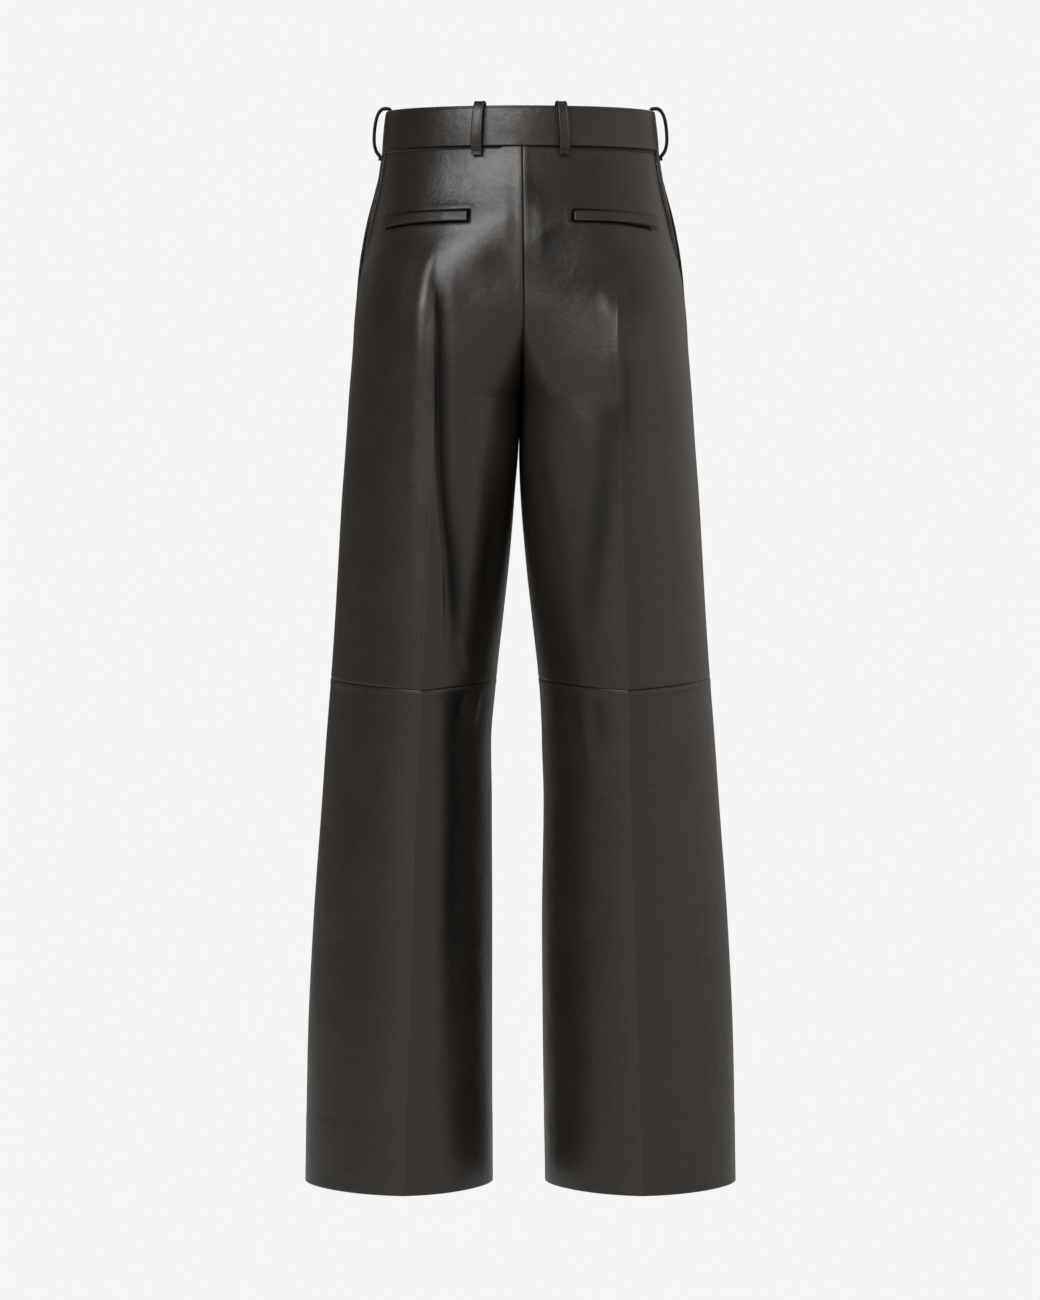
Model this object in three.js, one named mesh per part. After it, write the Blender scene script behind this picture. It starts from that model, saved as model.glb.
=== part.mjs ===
// Wide-leg leather trousers with pressed creases, filled out as when worn, open at the waist and hems.
// All sizes are in millimetres. +X is the wearer's right, +Y the wearer's front and +Z up.
// The origin is the middle of the waistband's ring, at half the band's height, where the waist holds it.
import * as THREE from "three";

// Sizes of the cloth and the pieces sewn from it.
const bandHeight = 40;
const bandThick = 3;
const clothThick = 1.5;
const seamGap = 0.3;
const kneeSeam = -543; // height of the knee seam at the side
const kneeDip = 8.5; // how far the knee seam drops at the crease
const kneeReach = 130; // rows this near the knee seam bend with it
const hemHeight = -1050;
const panelTop = -bandHeight / 2 - seamGap;

// The fork, where the body's one tube divides into two legs: the centre seam runs down a quarter of an
// ellipse from forkTop to the crotch point.
const forkTop = -172;
const crotch = -262;

// Shape of a leg's section.
const creaseShare = 0.5; // share of the way from the side to the inner seam at which the crease lies
const lensPower = 1.8;
const ridgeWidth = 15; // distance over which the pressed ridge dies away
const pressPower = 0.62; // how square the inner thighs are where they are pressed together

// Side pockets: a slanted mouth in the front, with a facing under it.
const mouthTop = 36; // distance of the mouth from the side seam at the waist
const mouthFoot = -172; // height at which the mouth meets the side seam
const mouthLift = 2.2; // how far the mouth's edge stands off the facing
const mouthRoom = 30; // width of front panel that lifts with the mouth
const facingLap = 14; // how far the facing runs on under the front
const tuckRun = 12; // width over which the facing sinks from the side seam's level to the front's inside

// Back pockets: one welt on each side.
const welt = { inner: 51, outer: 134, middle: -88.5, slope: 3.5, height: 10.5, thick: 1.4 };

// Belt loops, and where each pair stands, by distance from the centre.
const loop = { width: 10.5, thick: 2.2 };
const loopPlaces = [
  { name: "back", x: 40.5, half: 1 },
  { name: "side", x: 137, half: 1 },
  { name: "front", x: 66, half: -1 },
];

// Waistband fastening at the front: the right end lies over the left one.
const lap = { length: 38, lift: 2, drop: 3.6, hold: 26, run: 26 };
const hook = { start: 10, length: 13, height: 12, thick: 0.7 };
const bar = { start: 12, length: 9, height: 16, thick: 0.7 };

// Fly zip, behind the centre-front edges.
const zip = { half: 12, top: -24, foot: -160, thick: 1.4, dish: 3.3 };
const slider = { top: -27, length: 11, width: 8, thick: 2, tab: 15, tabWidth: 4.4, behind: 2.4 };

// One row for each level, from the waist to the hem.
// out: half the width over both side seams. mid: sideways place of the line between the legs.
// gap: half the space between the legs. crease: distance of the creases from the middle.
// lean: how far both creases stand to the right of that. back, front: depth of the cloth each way.
// cheek: 0 where the section is one oval, 1 where it bulges at each crease. dip: how far the centre-back
// seam lies in from the bulges. inseam: depth of the inner leg seam. seam: how far the side seam lies
// behind the widest point. lens: 0 for a round leg, 1 for a pointed oval. ridge: height of the crease.
// press: 0 where the thighs stand free, 1 where they are pressed flat against each other.
const columnNames = [
  "z", "out", "mid", "gap", "crease", "lean", "back", "front",
  "cheek", "dip", "inseam", "seam", "lens", "ridge", "press",
];
const levels = [
  [20, 134, 2, 0.15, 62, 0, 97, 97, 0, 0, 6, 18, 0, 0, 0],
  [-20, 138, 2, 0.15, 66, 0, 100, 100, 0, 0, 6, 18, 0, 0, 0],
  [-55, 143.5, 2.2, 0.15, 72, 1, 106.5, 103, 0.1, 1, 6, 20, 0, 0, 0],
  [-97, 152.5, 2.6, 0.15, 80, 3, 115.5, 107, 0.35, 3, 6, 21, 0, 0.3, 0],
  [-142, 160.5, 3, 0.15, 87, 5, 123.5, 110.5, 0.7, 6, 6, 20, 0, 1.6, 0],
  [-187, 165.5, 3.2, 0.15, 89, 5.4, 127.5, 112.5, 0.95, 9, 6, 13, 0, 2.6, 0.8],
  [-217, 167.3, 2.2, 0.15, 89, 5.4, 127, 113, 1, 10, 6, 8, 0, 3, 0.85],
  [-262, 171, 0.2, 0.15, 89, 5.4, 123.5, 113.5, 1, 10, 6, 2, 0, 3, 0.85],
  [-307, 174, -1.5, 0.3, 90, 5.2, 120, 113.5, 1, 10, 6, 0, 0.05, 3, 0.8],
  [-367, 178.5, -3, 3.5, 92.5, 4.8, 117, 113, 1, 10, 5, 0, 0.12, 3, 0.62],
  [-427, 182, -3, 8.5, 95.5, 4.4, 114, 112, 1, 10, 4, 0, 0.18, 3, 0.45],
  [-487, 185.5, -3, 15, 98, 4.1, 112, 110.5, 1, 10, 3, 0, 0.24, 3, 0.28],
  [-547, 189.7, -3, 21.5, 101, 3.9, 110, 109, 1, 10, 2, 0, 0.28, 2.8, 0.14],
  [-607, 194.5, -4, 25.5, 103, 2.6, 108.5, 108, 1, 10, 2, 0, 0.3, 2.6, 0.05],
  [-667, 198.7, -2.8, 26, 105, 1.8, 107.5, 107, 1, 10, 1, 0, 0.32, 2.4, 0],
  [-787, 207.5, -3.4, 25, 109, 1.9, 106, 106, 1, 10, 1, 0, 0.34, 2.2, 0],
  [-907, 213.3, -3, 25.5, 113, 2, 105.5, 105, 1, 10, 1, 0, 0.35, 2, 0],
  [-1050, 216, -1.5, 26.5, 117.5, 2, 105, 104.5, 1, 10, 1, 0, 0.35, 1.8, 0],
].map((row) => Object.fromEntries(row.map((value, i) => [columnNames[i], value])));

const leather = { color: 0x2b2826, roughness: 0.42, metalness: 0 };
const colours = {
  back: leather,
  front: { ...leather, color: 0x2f2b29 },
  lower: { ...leather, color: 0x262321 },
  band: { ...leather, color: 0x33302d },
  trim: { ...leather, color: 0x1f1d1b, roughness: 0.38 },
  tape: { color: 0x1b1a1a, roughness: 0.9, metalness: 0 },
  metal: { color: 0x5d5a55, roughness: 0.35, metalness: 1 },
};

const clamp = (v, low, high) => Math.min(high, Math.max(low, v));
const mix = (a, b, share) => a + (b - a) * share;
const ease = (share) => {
  const s = clamp(share, 0, 1);
  return s * s * (3 - 2 * s);
};

const spread = (from, to, steps) =>
  Array.from({ length: steps + 1 }, (_, i) => mix(from, to, i / steps));

// A smooth curve through one column of the table that never runs past the values on either side.
function columnCurve(name) {
  const z = levels.map((row) => row.z);
  const v = levels.map((row) => row[name]);
  const last = z.length - 1;
  const step = z.slice(1).map((value, i) => value - z[i]);
  const slope = step.map((h, i) => (v[i + 1] - v[i]) / h);
  const tangent = z.map((_, i) => {
    if (i === 0) return slope[0];
    if (i === last) return slope[last - 1];
    if (slope[i - 1] * slope[i] <= 0) return 0;
    const near = 2 * step[i] + step[i - 1];
    const far = step[i] + 2 * step[i - 1];
    return (near + far) / (near / slope[i - 1] + far / slope[i]);
  });
  return (height) => {
    const h = clamp(height, z[last], z[0]);
    let i = 0;
    while (i < last - 1 && h < z[i + 1]) i += 1;
    const s = (h - z[i]) / step[i];
    const rise = s * s * (3 - 2 * s);
    return (
      mix(v[i], v[i + 1], rise) +
      step[i] * (s * (1 - s) ** 2 * tangent[i] - s * s * (1 - s) * tangent[i + 1])
    );
  };
}

const curves = Object.fromEntries(columnNames.map((name) => [name, columnCurve(name)]));
const levelAt = (z) => Object.fromEntries(columnNames.map((name) => [name, curves[name](z)]));

// How far the tube has divided at a height: 0 above the fork and 1 from the crotch down.
function forkAt(z) {
  const above = clamp((z - crotch) / (forkTop - crotch), 0, 1);
  return 1 - Math.sqrt(above * (2 - above));
}

// A point on the outer face. side is 1 on the wearer's right and -1 on the left. q runs round one half:
// 0 at the widest point, 1 at the centre-back seam or the inseam behind, -1 at the same seam in front.
function ringPoint(side, q, z) {
  const level = levelAt(z);
  const fork = forkAt(z);
  const way = q < 0 ? 1 : -1;
  const t = Math.abs(q);
  const depth = q < 0 ? level.front : level.back;
  const creaseX = level.crease + side * level.lean;
  const innerX = side * level.mid + level.gap;
  const reach = level.out - innerX;
  const creaseAngle = Math.acos((creaseX - innerX) / reach);
  const outer = t < creaseShare;
  const share = outer ? t / creaseShare : (t - creaseShare) / (1 - creaseShare);

  const round = outer ? creaseAngle * share : mix(creaseAngle, Math.PI / 2, share);
  const ovalX = innerX + reach * Math.cos(round);
  const ovalY = way * depth * Math.sin(round);

  const turn = (outer ? share : 1 - share) * (Math.PI / 2);
  const away = Math.cos(turn);
  const arch = mix(Math.sin(turn), 1 - away ** lensPower, level.lens);
  const swell = outer ? arch : arch ** (1 - pressPower * level.press);
  const cheekX = creaseX + (outer ? level.out - creaseX : innerX - creaseX) * away;
  const legY = outer ? way * depth * swell : mix(level.inseam, way * depth, swell);
  const seatY = outer ? legY : way * (depth - level.dip * away ** 2);
  const cheekY = mix(seatY, legY, fork);

  const x = mix(ovalX, cheekX, level.cheek);
  const ridge = level.ridge * Math.exp(-Math.abs(x - creaseX) / ridgeWidth);
  return new THREE.Vector3(side * x, mix(ovalY, cheekY, level.cheek) + way * ridge, z);
}

// q past the end of a half carries on round the other half where the leg is a closed tube.
function wrapped(q, z) {
  if (Math.abs(q) <= 1) return q;
  return forkAt(z) < 1 ? Math.sign(q) : q - 2 * Math.sign(q);
}

// The level outward direction of the section at a point.
function outward(side, q, z) {
  const probe = 0.004;
  const before = ringPoint(side, wrapped(q - probe, z), z);
  const after = ringPoint(side, wrapped(q + probe, z), z);
  const along = after.sub(before);
  return new THREE.Vector3(-along.y, along.x, 0).multiplyScalar(side).normalize();
}

// The same point moved out by a distance, or in where it is negative.
function offsetPoint(side, q, z, distance) {
  return ringPoint(side, q, z).addScaledVector(outward(side, q, z), distance);
}

// Lengths along one half of a section at even steps of q, from the widest point to the inner seam.
const fineSteps = 160;
const lengthTables = new Map();
function halfLengths(side, half, z) {
  const key = [side, half, z].join(" ");
  if (!lengthTables.has(key)) {
    const points = spread(0, half, fineSteps).map((q) => ringPoint(side, q, z));
    const lengths = [0];
    for (let i = 1; i <= fineSteps; i += 1) {
      lengths.push(lengths[i - 1] + points[i].distanceTo(points[i - 1]));
    }
    lengthTables.set(key, lengths);
  }
  return lengthTables.get(key);
}

// The q at a signed distance from the widest point: to the back where positive, else to the front.
function qAtDistance(side, z, distance) {
  const half = distance < 0 ? -1 : 1;
  const lengths = halfLengths(side, half, z);
  const wanted = Math.min(Math.abs(distance), lengths[fineSteps]);
  let i = 1;
  while (i < fineSteps && lengths[i] < wanted) i += 1;
  const share = (wanted - lengths[i - 1]) / (lengths[i] - lengths[i - 1]);
  return (half * (i - 1 + share)) / fineSteps;
}

// The q at which the section is a given distance from the middle, on the back half (1) or front (-1).
function qAtX(side, half, z, x) {
  let low = 0;
  let high = 1;
  for (let i = 0; i < 40; i += 1) {
    const middle = (low + high) / 2;
    if (ringPoint(side, half * middle, z).x * side > x) low = middle;
    else high = middle;
  }
  return (half * (low + high)) / 2;
}

// A closed wall between an outer and an inner grid of points, with a rim round its edge.
function wallGeometry(outer, inner) {
  const rows = outer.length;
  const columns = outer[0].length;
  const points = [...outer.flat(), ...inner.flat()];
  const outerAt = (i, j) => i * columns + j;
  const innerAt = (i, j) => rows * columns + outerAt(i, j);
  const faces = [];
  const quad = (a, b, c, d) => faces.push([a, b, c], [a, c, d]);
  const end = columns - 1;
  const foot = rows - 1;
  for (let i = 0; i < rows - 1; i += 1) {
    for (let j = 0; j < columns - 1; j += 1) {
      quad(outerAt(i, j), outerAt(i + 1, j), outerAt(i + 1, j + 1), outerAt(i, j + 1));
      quad(innerAt(i, j), innerAt(i, j + 1), innerAt(i + 1, j + 1), innerAt(i + 1, j));
    }
  }
  for (let j = 0; j < columns - 1; j += 1) {
    quad(outerAt(0, j), outerAt(0, j + 1), innerAt(0, j + 1), innerAt(0, j));
    quad(outerAt(foot, j + 1), outerAt(foot, j), innerAt(foot, j), innerAt(foot, j + 1));
  }
  for (let i = 0; i < rows - 1; i += 1) {
    quad(outerAt(i + 1, 0), outerAt(i, 0), innerAt(i, 0), innerAt(i + 1, 0));
    quad(outerAt(i, end), outerAt(i + 1, end), innerAt(i + 1, end), innerAt(i, end));
  }
  const cross = new THREE.Vector3();
  const volume = faces.reduce(
    (sum, [a, b, c]) => sum + points[a].dot(cross.crossVectors(points[b], points[c])),
    0,
  );
  if (volume < 0) faces.forEach((face) => face.reverse());
  const geometry = new THREE.BufferGeometry();
  geometry.setAttribute(
    "position",
    new THREE.Float32BufferAttribute(points.flatMap((p) => [p.x, p.y, p.z]), 3),
  );
  geometry.setIndex(faces.flat());
  return geometry;
}

const trousers = new THREE.Group();

function addPiece(name, geometry, colour) {
  const mesh = new THREE.Mesh(geometry, new THREE.MeshStandardMaterial(colour));
  mesh.name = name;
  trousers.add(mesh);
  return mesh;
}

// Columns of a panel, as signed distances along the section: close together at the seams and the crease.
const edgeSteps = [7, 15];
const outerShares = [0.32, 0.6, 0.82, 0.95, 1];
const innerShares = [0.05, 0.18, 0.4, 0.68, 1];
const centreStep = 14;

function panelColumns(side, half, z, edge) {
  const lengths = halfLengths(side, half, z);
  const crease = half * lengths[fineSteps * creaseShare];
  const end = half * (lengths[fineSteps] - (forkAt(z) === 1 ? seamGap / 2 : 0));
  const start = edge + half * edgeSteps[1];
  return [
    edge + (half * seamGap) / 2,
    edge + half * edgeSteps[0],
    start,
    ...outerShares.map((share) => mix(start, crease, share)),
    ...innerShares.map((share) => mix(crease, end - half * centreStep, share)),
    end,
  ];
}

// The knee seam and the rows near it drop towards the crease.
function bentHeight(z, q) {
  const nearKnee = clamp(1 - Math.abs(z - kneeSeam) / kneeReach, 0, 1);
  const nearCrease = 1 - Math.abs(Math.abs(q) - creaseShare) / creaseShare;
  return z - kneeDip * nearKnee * clamp(nearCrease, 0, 1);
}

function clothPoint(side, z, distance, off) {
  const q = qAtDistance(side, z, distance);
  return offsetPoint(side, q, bentHeight(z, q), off);
}

// Distance of the side seam behind the widest point, and of the pocket mouth in front of the seam.
const seamAt = (z) => curves.seam(z);
const alongMouth = (z) => clamp((z - mouthFoot) / (panelTop - mouthFoot), 0, 1);
const mouthAt = (z) => mouthTop * alongMouth(z);

// How far the front stands off beside the pocket mouth: most at half the mouth's length.
function liftAt(distance, z) {
  return mouthLift * Math.sin(Math.PI * alongMouth(z)) * (1 - ease(distance / mouthRoom));
}

// A wall over rows of heights. edgeAt gives the outer edge's distance at a height, and lift how far
// the cloth stands off the plain form.
function panelGeometry(side, half, heights, edgeAt, lift) {
  const grid = (depth) =>
    heights.map((z) =>
      panelColumns(side, half, z, edgeAt(z)).map((distance) => {
        const off = lift ? lift(Math.abs(distance - edgeAt(z)), z) : 0;
        return clothPoint(side, z, distance, off - depth);
      }),
    );
  return wallGeometry(grid(0), grid(clothThick));
}

// Rows of a panel's upper part: down to the fork, by angle round it, and evenly to the knee. The back
// welts lie between two of the rows.
const hipHeights = [panelTop, -50, -78, -104, -132, -158, forkTop];
const forkHeights = spread(Math.PI / 2, 0, 7).map(
  (angle) => crotch + (forkTop - crotch) * (1 - Math.cos(angle)),
);
const thighHeights = spread(crotch, kneeSeam + seamGap / 2, 8);
const upperHeights = [...hipHeights, ...forkHeights.slice(1), ...thighHeights.slice(1)];
const lowerHeights = spread(kneeSeam - seamGap / 2, hemHeight, 9);

const frontEdge = (z) => seamAt(z) - mouthAt(z);

function buildPanels(side, name) {
  addPiece(`back_${name}`, panelGeometry(side, 1, upperHeights, seamAt), colours.back);
  addPiece(`front_${name}`, panelGeometry(side, -1, upperHeights, frontEdge, liftAt), colours.front);
  addPiece(`lower_back_${name}`, panelGeometry(side, 1, lowerHeights, seamAt), colours.lower);
  addPiece(`lower_front_${name}`, panelGeometry(side, -1, lowerHeights, seamAt), colours.lower);
}

// The facing fills the hip corner behind the mouth and runs on under the front. It stops one row above
// the mouth's foot, where the mouth is nearly closed.
function buildFacing(side, name) {
  const under = clothThick + seamGap + 0.1;
  const grid = (depth) =>
    hipHeights.slice(0, -1).map((z) => {
      const mouth = mouthAt(z);
      const columns = [seamGap / 2, mouth * 0.4, mouth * 0.75, mouth, mouth + 7, mouth + facingLap];
      return columns.map((distance) => {
        const tuck = under * ease((distance - mouth + tuckRun) / tuckRun);
        return clothPoint(side, z, seamAt(z) - distance, -tuck - depth);
      });
    });
  addPiece(`side_pocket_facing_${name}`, wallGeometry(grid(0), grid(clothThick)), colours.trim);
}

// The welt lies on one row of the back's facets. Places along it are numbers of columns.
function buildWelt(side, name) {
  const row = hipHeights.findIndex((z) => z < welt.middle) - 1;
  const [above, below] = [hipHeights[row], hipHeights[row + 1]];
  const columnsAt = (z) => panelColumns(side, 1, z, seamAt(z));
  const ends = [welt.outer, welt.inner].map((x) => {
    const columns = columnsAt(welt.middle);
    const lengths = halfLengths(side, 1, welt.middle);
    const q = qAtX(side, 1, welt.middle, x);
    const wanted = lengths[Math.round(q * fineSteps)];
    const next = columns.findIndex((distance) => distance > wanted);
    return next - 1 + (wanted - columns[next - 1]) / (columns[next] - columns[next - 1]);
  });
  const inside = (place) => place > ends[0] + 0.1 && place < ends[1] - 0.1;
  const quarters = spread(0, 40, 160).filter(inside);
  const places = [ends[0], ...quarters, ends[1]];
  const facePoint = (place, z, off) => {
    const i = Math.floor(place);
    const across = place - i;
    const down = (above - z) / (above - below);
    const corner = (height, column) => clothPoint(side, height, columnsAt(height)[column], off);
    const [start, end] = [corner(above, i), corner(below, i + 1)];
    const turned = down > across ? corner(below, i) : corner(above, i + 1);
    const [first, second] = down > across ? [down, across] : [across, down];
    const toTurn = turned.clone().sub(start).multiplyScalar(first);
    return start.add(toTurn).addScaledVector(end.sub(turned), second);
  };
  const grid = (off) =>
    [0.5, -0.5].map((share) =>
      places.map((place) => {
        const across = (ends[1] - place) / (ends[1] - ends[0]);
        const z = welt.middle - welt.slope * across ** 2 + share * welt.height;
        return facePoint(place, z, off);
      }),
    );
  const geometry = wallGeometry(grid(seamGap + welt.thick), grid(seamGap));
  addPiece(`back_pocket_welt_${name}`, geometry, colours.trim);
}

// The waistband is one strip that starts at the centre front, runs round the body and carries on
// under its own start.
function buildWaistband() {
  const steps = 34;
  const ring = [
    ...spread(-1, 1, steps).map((q) => ({ side: 1, q })),
    ...spread(1, -1, steps).slice(1).map((q) => ({ side: -1, q })),
  ].map(({ side, q }) => {
    const fromEnd = Math.abs(ringPoint(side, q, 0).x - curves.mid(0));
    const near = q < -creaseShare / 2 ? 1 - ease((fromEnd - lap.hold) / lap.run) : 0;
    return { side, q, off: near * (side === 1 ? lap.lift : -lap.drop) };
  });
  const under = spread(1, lap.length, 5).map((x) => ({
    side: 1,
    q: qAtX(1, -1, 0, x + curves.mid(0)),
    off: -lap.drop,
  }));
  const grid = (depth) =>
    spread(bandHeight / 2, -bandHeight / 2, 2).map((z) =>
      [...ring, ...under].map(({ side, q, off }) => offsetPoint(side, q, z, off - depth)),
    );
  addPiece("waistband", wallGeometry(grid(0), grid(bandThick)), colours.band);
}

// Middle line of a belt loop's strap, as distance off the band's face and height: up the inside,
// over the top edge, out, down and onto the panel below the waist seam.
const strapLine = [
  { off: -4.7, z: 10 },
  { off: -4.7, z: 20 },
  { off: -4.1, z: 21.8 },
  { off: -2.6, z: 22.8 },
  { off: 0.8, z: 23.1 },
  { off: 4.2, z: 22.2 },
  { off: 7.2, z: 18.8 },
  { off: 9, z: 12.6 },
  { off: 9.7, z: 4.5 },
  { off: 9.6, z: -4 },
  { off: 8.6, z: -12 },
  { off: 6.2, z: -18.6 },
  { off: 3.5, z: -22.2 },
  { off: 2, z: -24 },
  { off: 1.8, z: -26.6 },
];

function buildLoop(side, name, place) {
  const middleX = Math.min(place.x, Math.abs(ringPoint(side, 0, 0).x) - 0.01);
  const lengths = halfLengths(side, place.half, 0);
  const middleQ = Math.abs(qAtX(side, place.half, 0, middleX));
  const middle = place.half * lengths[Math.round(middleQ * fineSteps)];
  const line = new THREE.SplineCurve(strapLine.map(({ off, z }) => new THREE.Vector2(off, z)));
  const across = spread(middle - loop.width / 2, middle + loop.width / 2, 2);
  const grid = (shift) =>
    spread(0, 1, 28).map((share) => {
      const point = line.getPoint(share);
      const tangent = line.getTangent(share);
      const off = point.x - tangent.y * shift;
      const z = point.y + tangent.x * shift;
      return across.map((distance) => offsetPoint(side, qAtDistance(side, 0, distance), z, off));
    });
  const geometry = wallGeometry(grid(loop.thick / 2), grid(-loop.thick / 2));
  addPiece(`belt_loop_${place.name}_${name}`, geometry, colours.trim);
}

// A point near the centre front, by its sideways distance from the middle.
function frontPoint(x, z, off) {
  const side = x < 0 ? -1 : 1;
  return offsetPoint(side, qAtX(side, -1, z, Math.abs(x) + side * curves.mid(z) + 0.15), z, off);
}

function buildZip() {
  const back = clothThick + seamGap + 0.25;
  const grid = (depth) =>
    spread(zip.top, zip.foot, 6).map((z) =>
      spread(-1, 1, 6).map((share) =>
        frontPoint(share * zip.half, z, -back - zip.dish * (1 - share * share) - depth),
      ),
    );
  addPiece("fly_zip", wallGeometry(grid(0), grid(zip.thick)), colours.tape);
}

// The slider with its pull tab hanging flat between the tape and the fronts.
function buildSlider() {
  const half = slider.width / 2;
  const tabHalf = slider.tabWidth / 2;
  const foot = -slider.length - slider.tab;
  const outline = new THREE.Shape();
  outline.moveTo(-half, -2);
  outline.lineTo(-half + 2, 0);
  outline.lineTo(half - 2, 0);
  outline.lineTo(half, -2);
  outline.lineTo(half - 1, -slider.length);
  outline.lineTo(tabHalf, -slider.length);
  outline.absarc(0, foot + tabHalf, tabHalf, 0, -Math.PI, true);
  outline.lineTo(-tabHalf, -slider.length);
  outline.lineTo(-half + 1, -slider.length);
  outline.closePath();
  const shape = { depth: slider.thick, bevelEnabled: false, curveSegments: 6 };
  const mesh = addPiece("zip_slider", new THREE.ExtrudeGeometry(outline, shape), colours.metal);
  const drop = slider.length + slider.tab;
  const spreadOut = curves.front(slider.top - drop) - curves.front(slider.top);
  mesh.rotation.x = Math.PI / 2 + Math.atan2(spreadOut, drop);
  mesh.position.set(curves.mid(slider.top), curves.front(slider.top) - slider.behind, slider.top);
}

// Flat metal pieces between the two ends of the waistband.
function buildFastening() {
  const plate = (piece, off) =>
    wallGeometry(
      ...[off, off - piece.thick].map((depth) =>
        spread(piece.height / 2, -piece.height / 2, 1).map((z) =>
          spread(piece.start, piece.start + piece.length, 3).map((x) => frontPoint(x, z, depth)),
        ),
      ),
    );
  const hookFace = lap.lift - bandThick - seamGap - 0.1;
  addPiece("waistband_hook", plate(hook, hookFace), colours.metal);
  addPiece("waistband_bar", plate(bar, seamGap + 0.1 + bar.thick - lap.drop), colours.metal);
}

for (const [side, name] of [
  [-1, "left"],
  [1, "right"],
]) {
  buildPanels(side, name);
  buildFacing(side, name);
  buildWelt(side, name);
  loopPlaces.forEach((place) => buildLoop(side, name, place));
}
buildWaistband();
buildZip();
buildSlider();
buildFastening();

export default trousers;
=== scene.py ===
import math
import bpy
import numpy as np
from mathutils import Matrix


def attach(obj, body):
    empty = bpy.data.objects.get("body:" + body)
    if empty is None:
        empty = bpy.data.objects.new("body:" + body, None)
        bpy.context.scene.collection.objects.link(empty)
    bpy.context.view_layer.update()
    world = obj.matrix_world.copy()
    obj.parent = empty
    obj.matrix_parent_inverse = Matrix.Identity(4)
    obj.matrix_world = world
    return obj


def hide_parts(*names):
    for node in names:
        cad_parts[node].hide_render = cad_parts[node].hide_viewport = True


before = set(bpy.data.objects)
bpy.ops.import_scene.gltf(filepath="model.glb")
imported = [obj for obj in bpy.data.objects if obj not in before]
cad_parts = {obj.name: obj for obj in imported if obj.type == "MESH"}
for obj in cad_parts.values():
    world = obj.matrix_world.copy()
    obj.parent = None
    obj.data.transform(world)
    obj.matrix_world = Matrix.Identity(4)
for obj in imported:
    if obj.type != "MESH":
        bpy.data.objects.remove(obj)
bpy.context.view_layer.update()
mm = 0.001

# Back view, hollow and filled out: +X is the wearer's right, +Y the wearer's front, +Z up.
# Lengths here are in millimetres and are turned to metres when a mesh is made.

# Camera, light and floor

studio = {
    "cameraPlace": (-0.5, -4890.0, -321.5),
    "tilt": 2.284,              # degrees down from level
    "lens": 135.4,
    "paperTone": 0.915,         # what the camera sees round the trousers
    # what the leather sees of the room: degrees to the right of the camera's line, and brightness
    "room": [(-180, 0.20), (-150, 0.08), (-60, 0.09), (-40, 0.14), (-27, 0.85), (-13, 1.55), (0, 1.15),
             (9, 0.85), (18, 0.45), (26, 0.50), (36, 1.15), (50, 1.50), (78, 1.30), (105, 0.80), (140, 0.45),
             (180, 0.20)],
    # the same from a hand's height above level upwards
    "roomAbove": [(-180, 0.40), (-145, 0.22), (-110, 0.05), (-60, 0.05), (-42, 0.12), (-27, 0.95),
                  (-12, 1.30), (2, 0.75), (12, 0.34), (50, 0.30), (62, 0.42), (75, 0.62), (95, 0.72),
                  (125, 0.60), (155, 0.45)],
    "aboveFrom": 0.03, "aboveTo": 0.20,  # sines of the heights between which one room turns into the other
    "roomWarmth": (1.0, 0.94, 0.87),
    "roomHeights": [(-1.0, 0.35), (-0.5, 0.8), (-0.15, 1.0), (0.35, 1.0), (0.8, 0.7)],  # by sine
    "floorHeight": -1300.0, "floorReach": 9000.0,
    "floorTone": 0.82, "floorRoughness": 0.9, "floorShine": 0.1,
    "floorFade": (350.0, 750.0),  # from the middle, where the floor turns into the paper behind
    "keyPlace": (-1290.0, -2730.0, 1480.0), "keyAim": (-60.0, -100.0, -250.0),
    "keySize": (2200.0, 1400.0), "keyPower": 78.0,
    "farPlace": (300.0, 3200.0, 1300.0), "farAim": (60.0, 100.0, -250.0),
    "farSize": (1600.0, 1400.0), "farPower": 26.0,
}


def inMetres(place):
    return tuple(v * mm for v in place)


def aimAt(thing, target):
    dx, dy, dz = (target[i] - thing.location[i] for i in range(3))
    thing.rotation_euler = (math.atan2(math.hypot(dx, dy), -dz), 0.0, math.atan2(dy, dx) - math.pi / 2)


def addSoftbox(name):
    lamp = bpy.data.lights.new(name + "Softbox", "AREA")
    lamp.shape = "RECTANGLE"
    lamp.size = studio[name + "Size"][0] * mm
    lamp.size_y = studio[name + "Size"][1] * mm
    lamp.energy = studio[name + "Power"]
    holder = bpy.data.objects.new(name + "Softbox", lamp)
    bpy.context.collection.objects.link(holder)
    holder.location = inMetres(studio[name + "Place"])
    aimAt(holder, inMetres(studio[name + "Aim"]))


def addCamera():
    camera = bpy.data.cameras.new("camera")
    camera.lens = studio["lens"]
    camera.clip_end = 60.0
    holder = bpy.data.objects.new("camera", camera)
    bpy.context.collection.objects.link(holder)
    holder.location = inMetres(studio["cameraPlace"])
    holder.rotation_euler = (math.radians(90.0 - studio["tilt"]), 0.0, 0.0)
    bpy.context.scene.camera = holder


def fillRamp(nodes, marks):
    ramp = nodes.new("ShaderNodeValToRGB")
    ramp.color_ramp.interpolation = "EASE"
    stops = ramp.color_ramp.elements
    while len(stops) > 1:
        stops.remove(stops[-1])
    for i, (place, colour) in enumerate(marks):
        stop = stops[0] if i == 0 else stops.new(place)
        stop.position = place
        stop.color = tuple(colour) + (1.0,)
    return ramp


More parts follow.
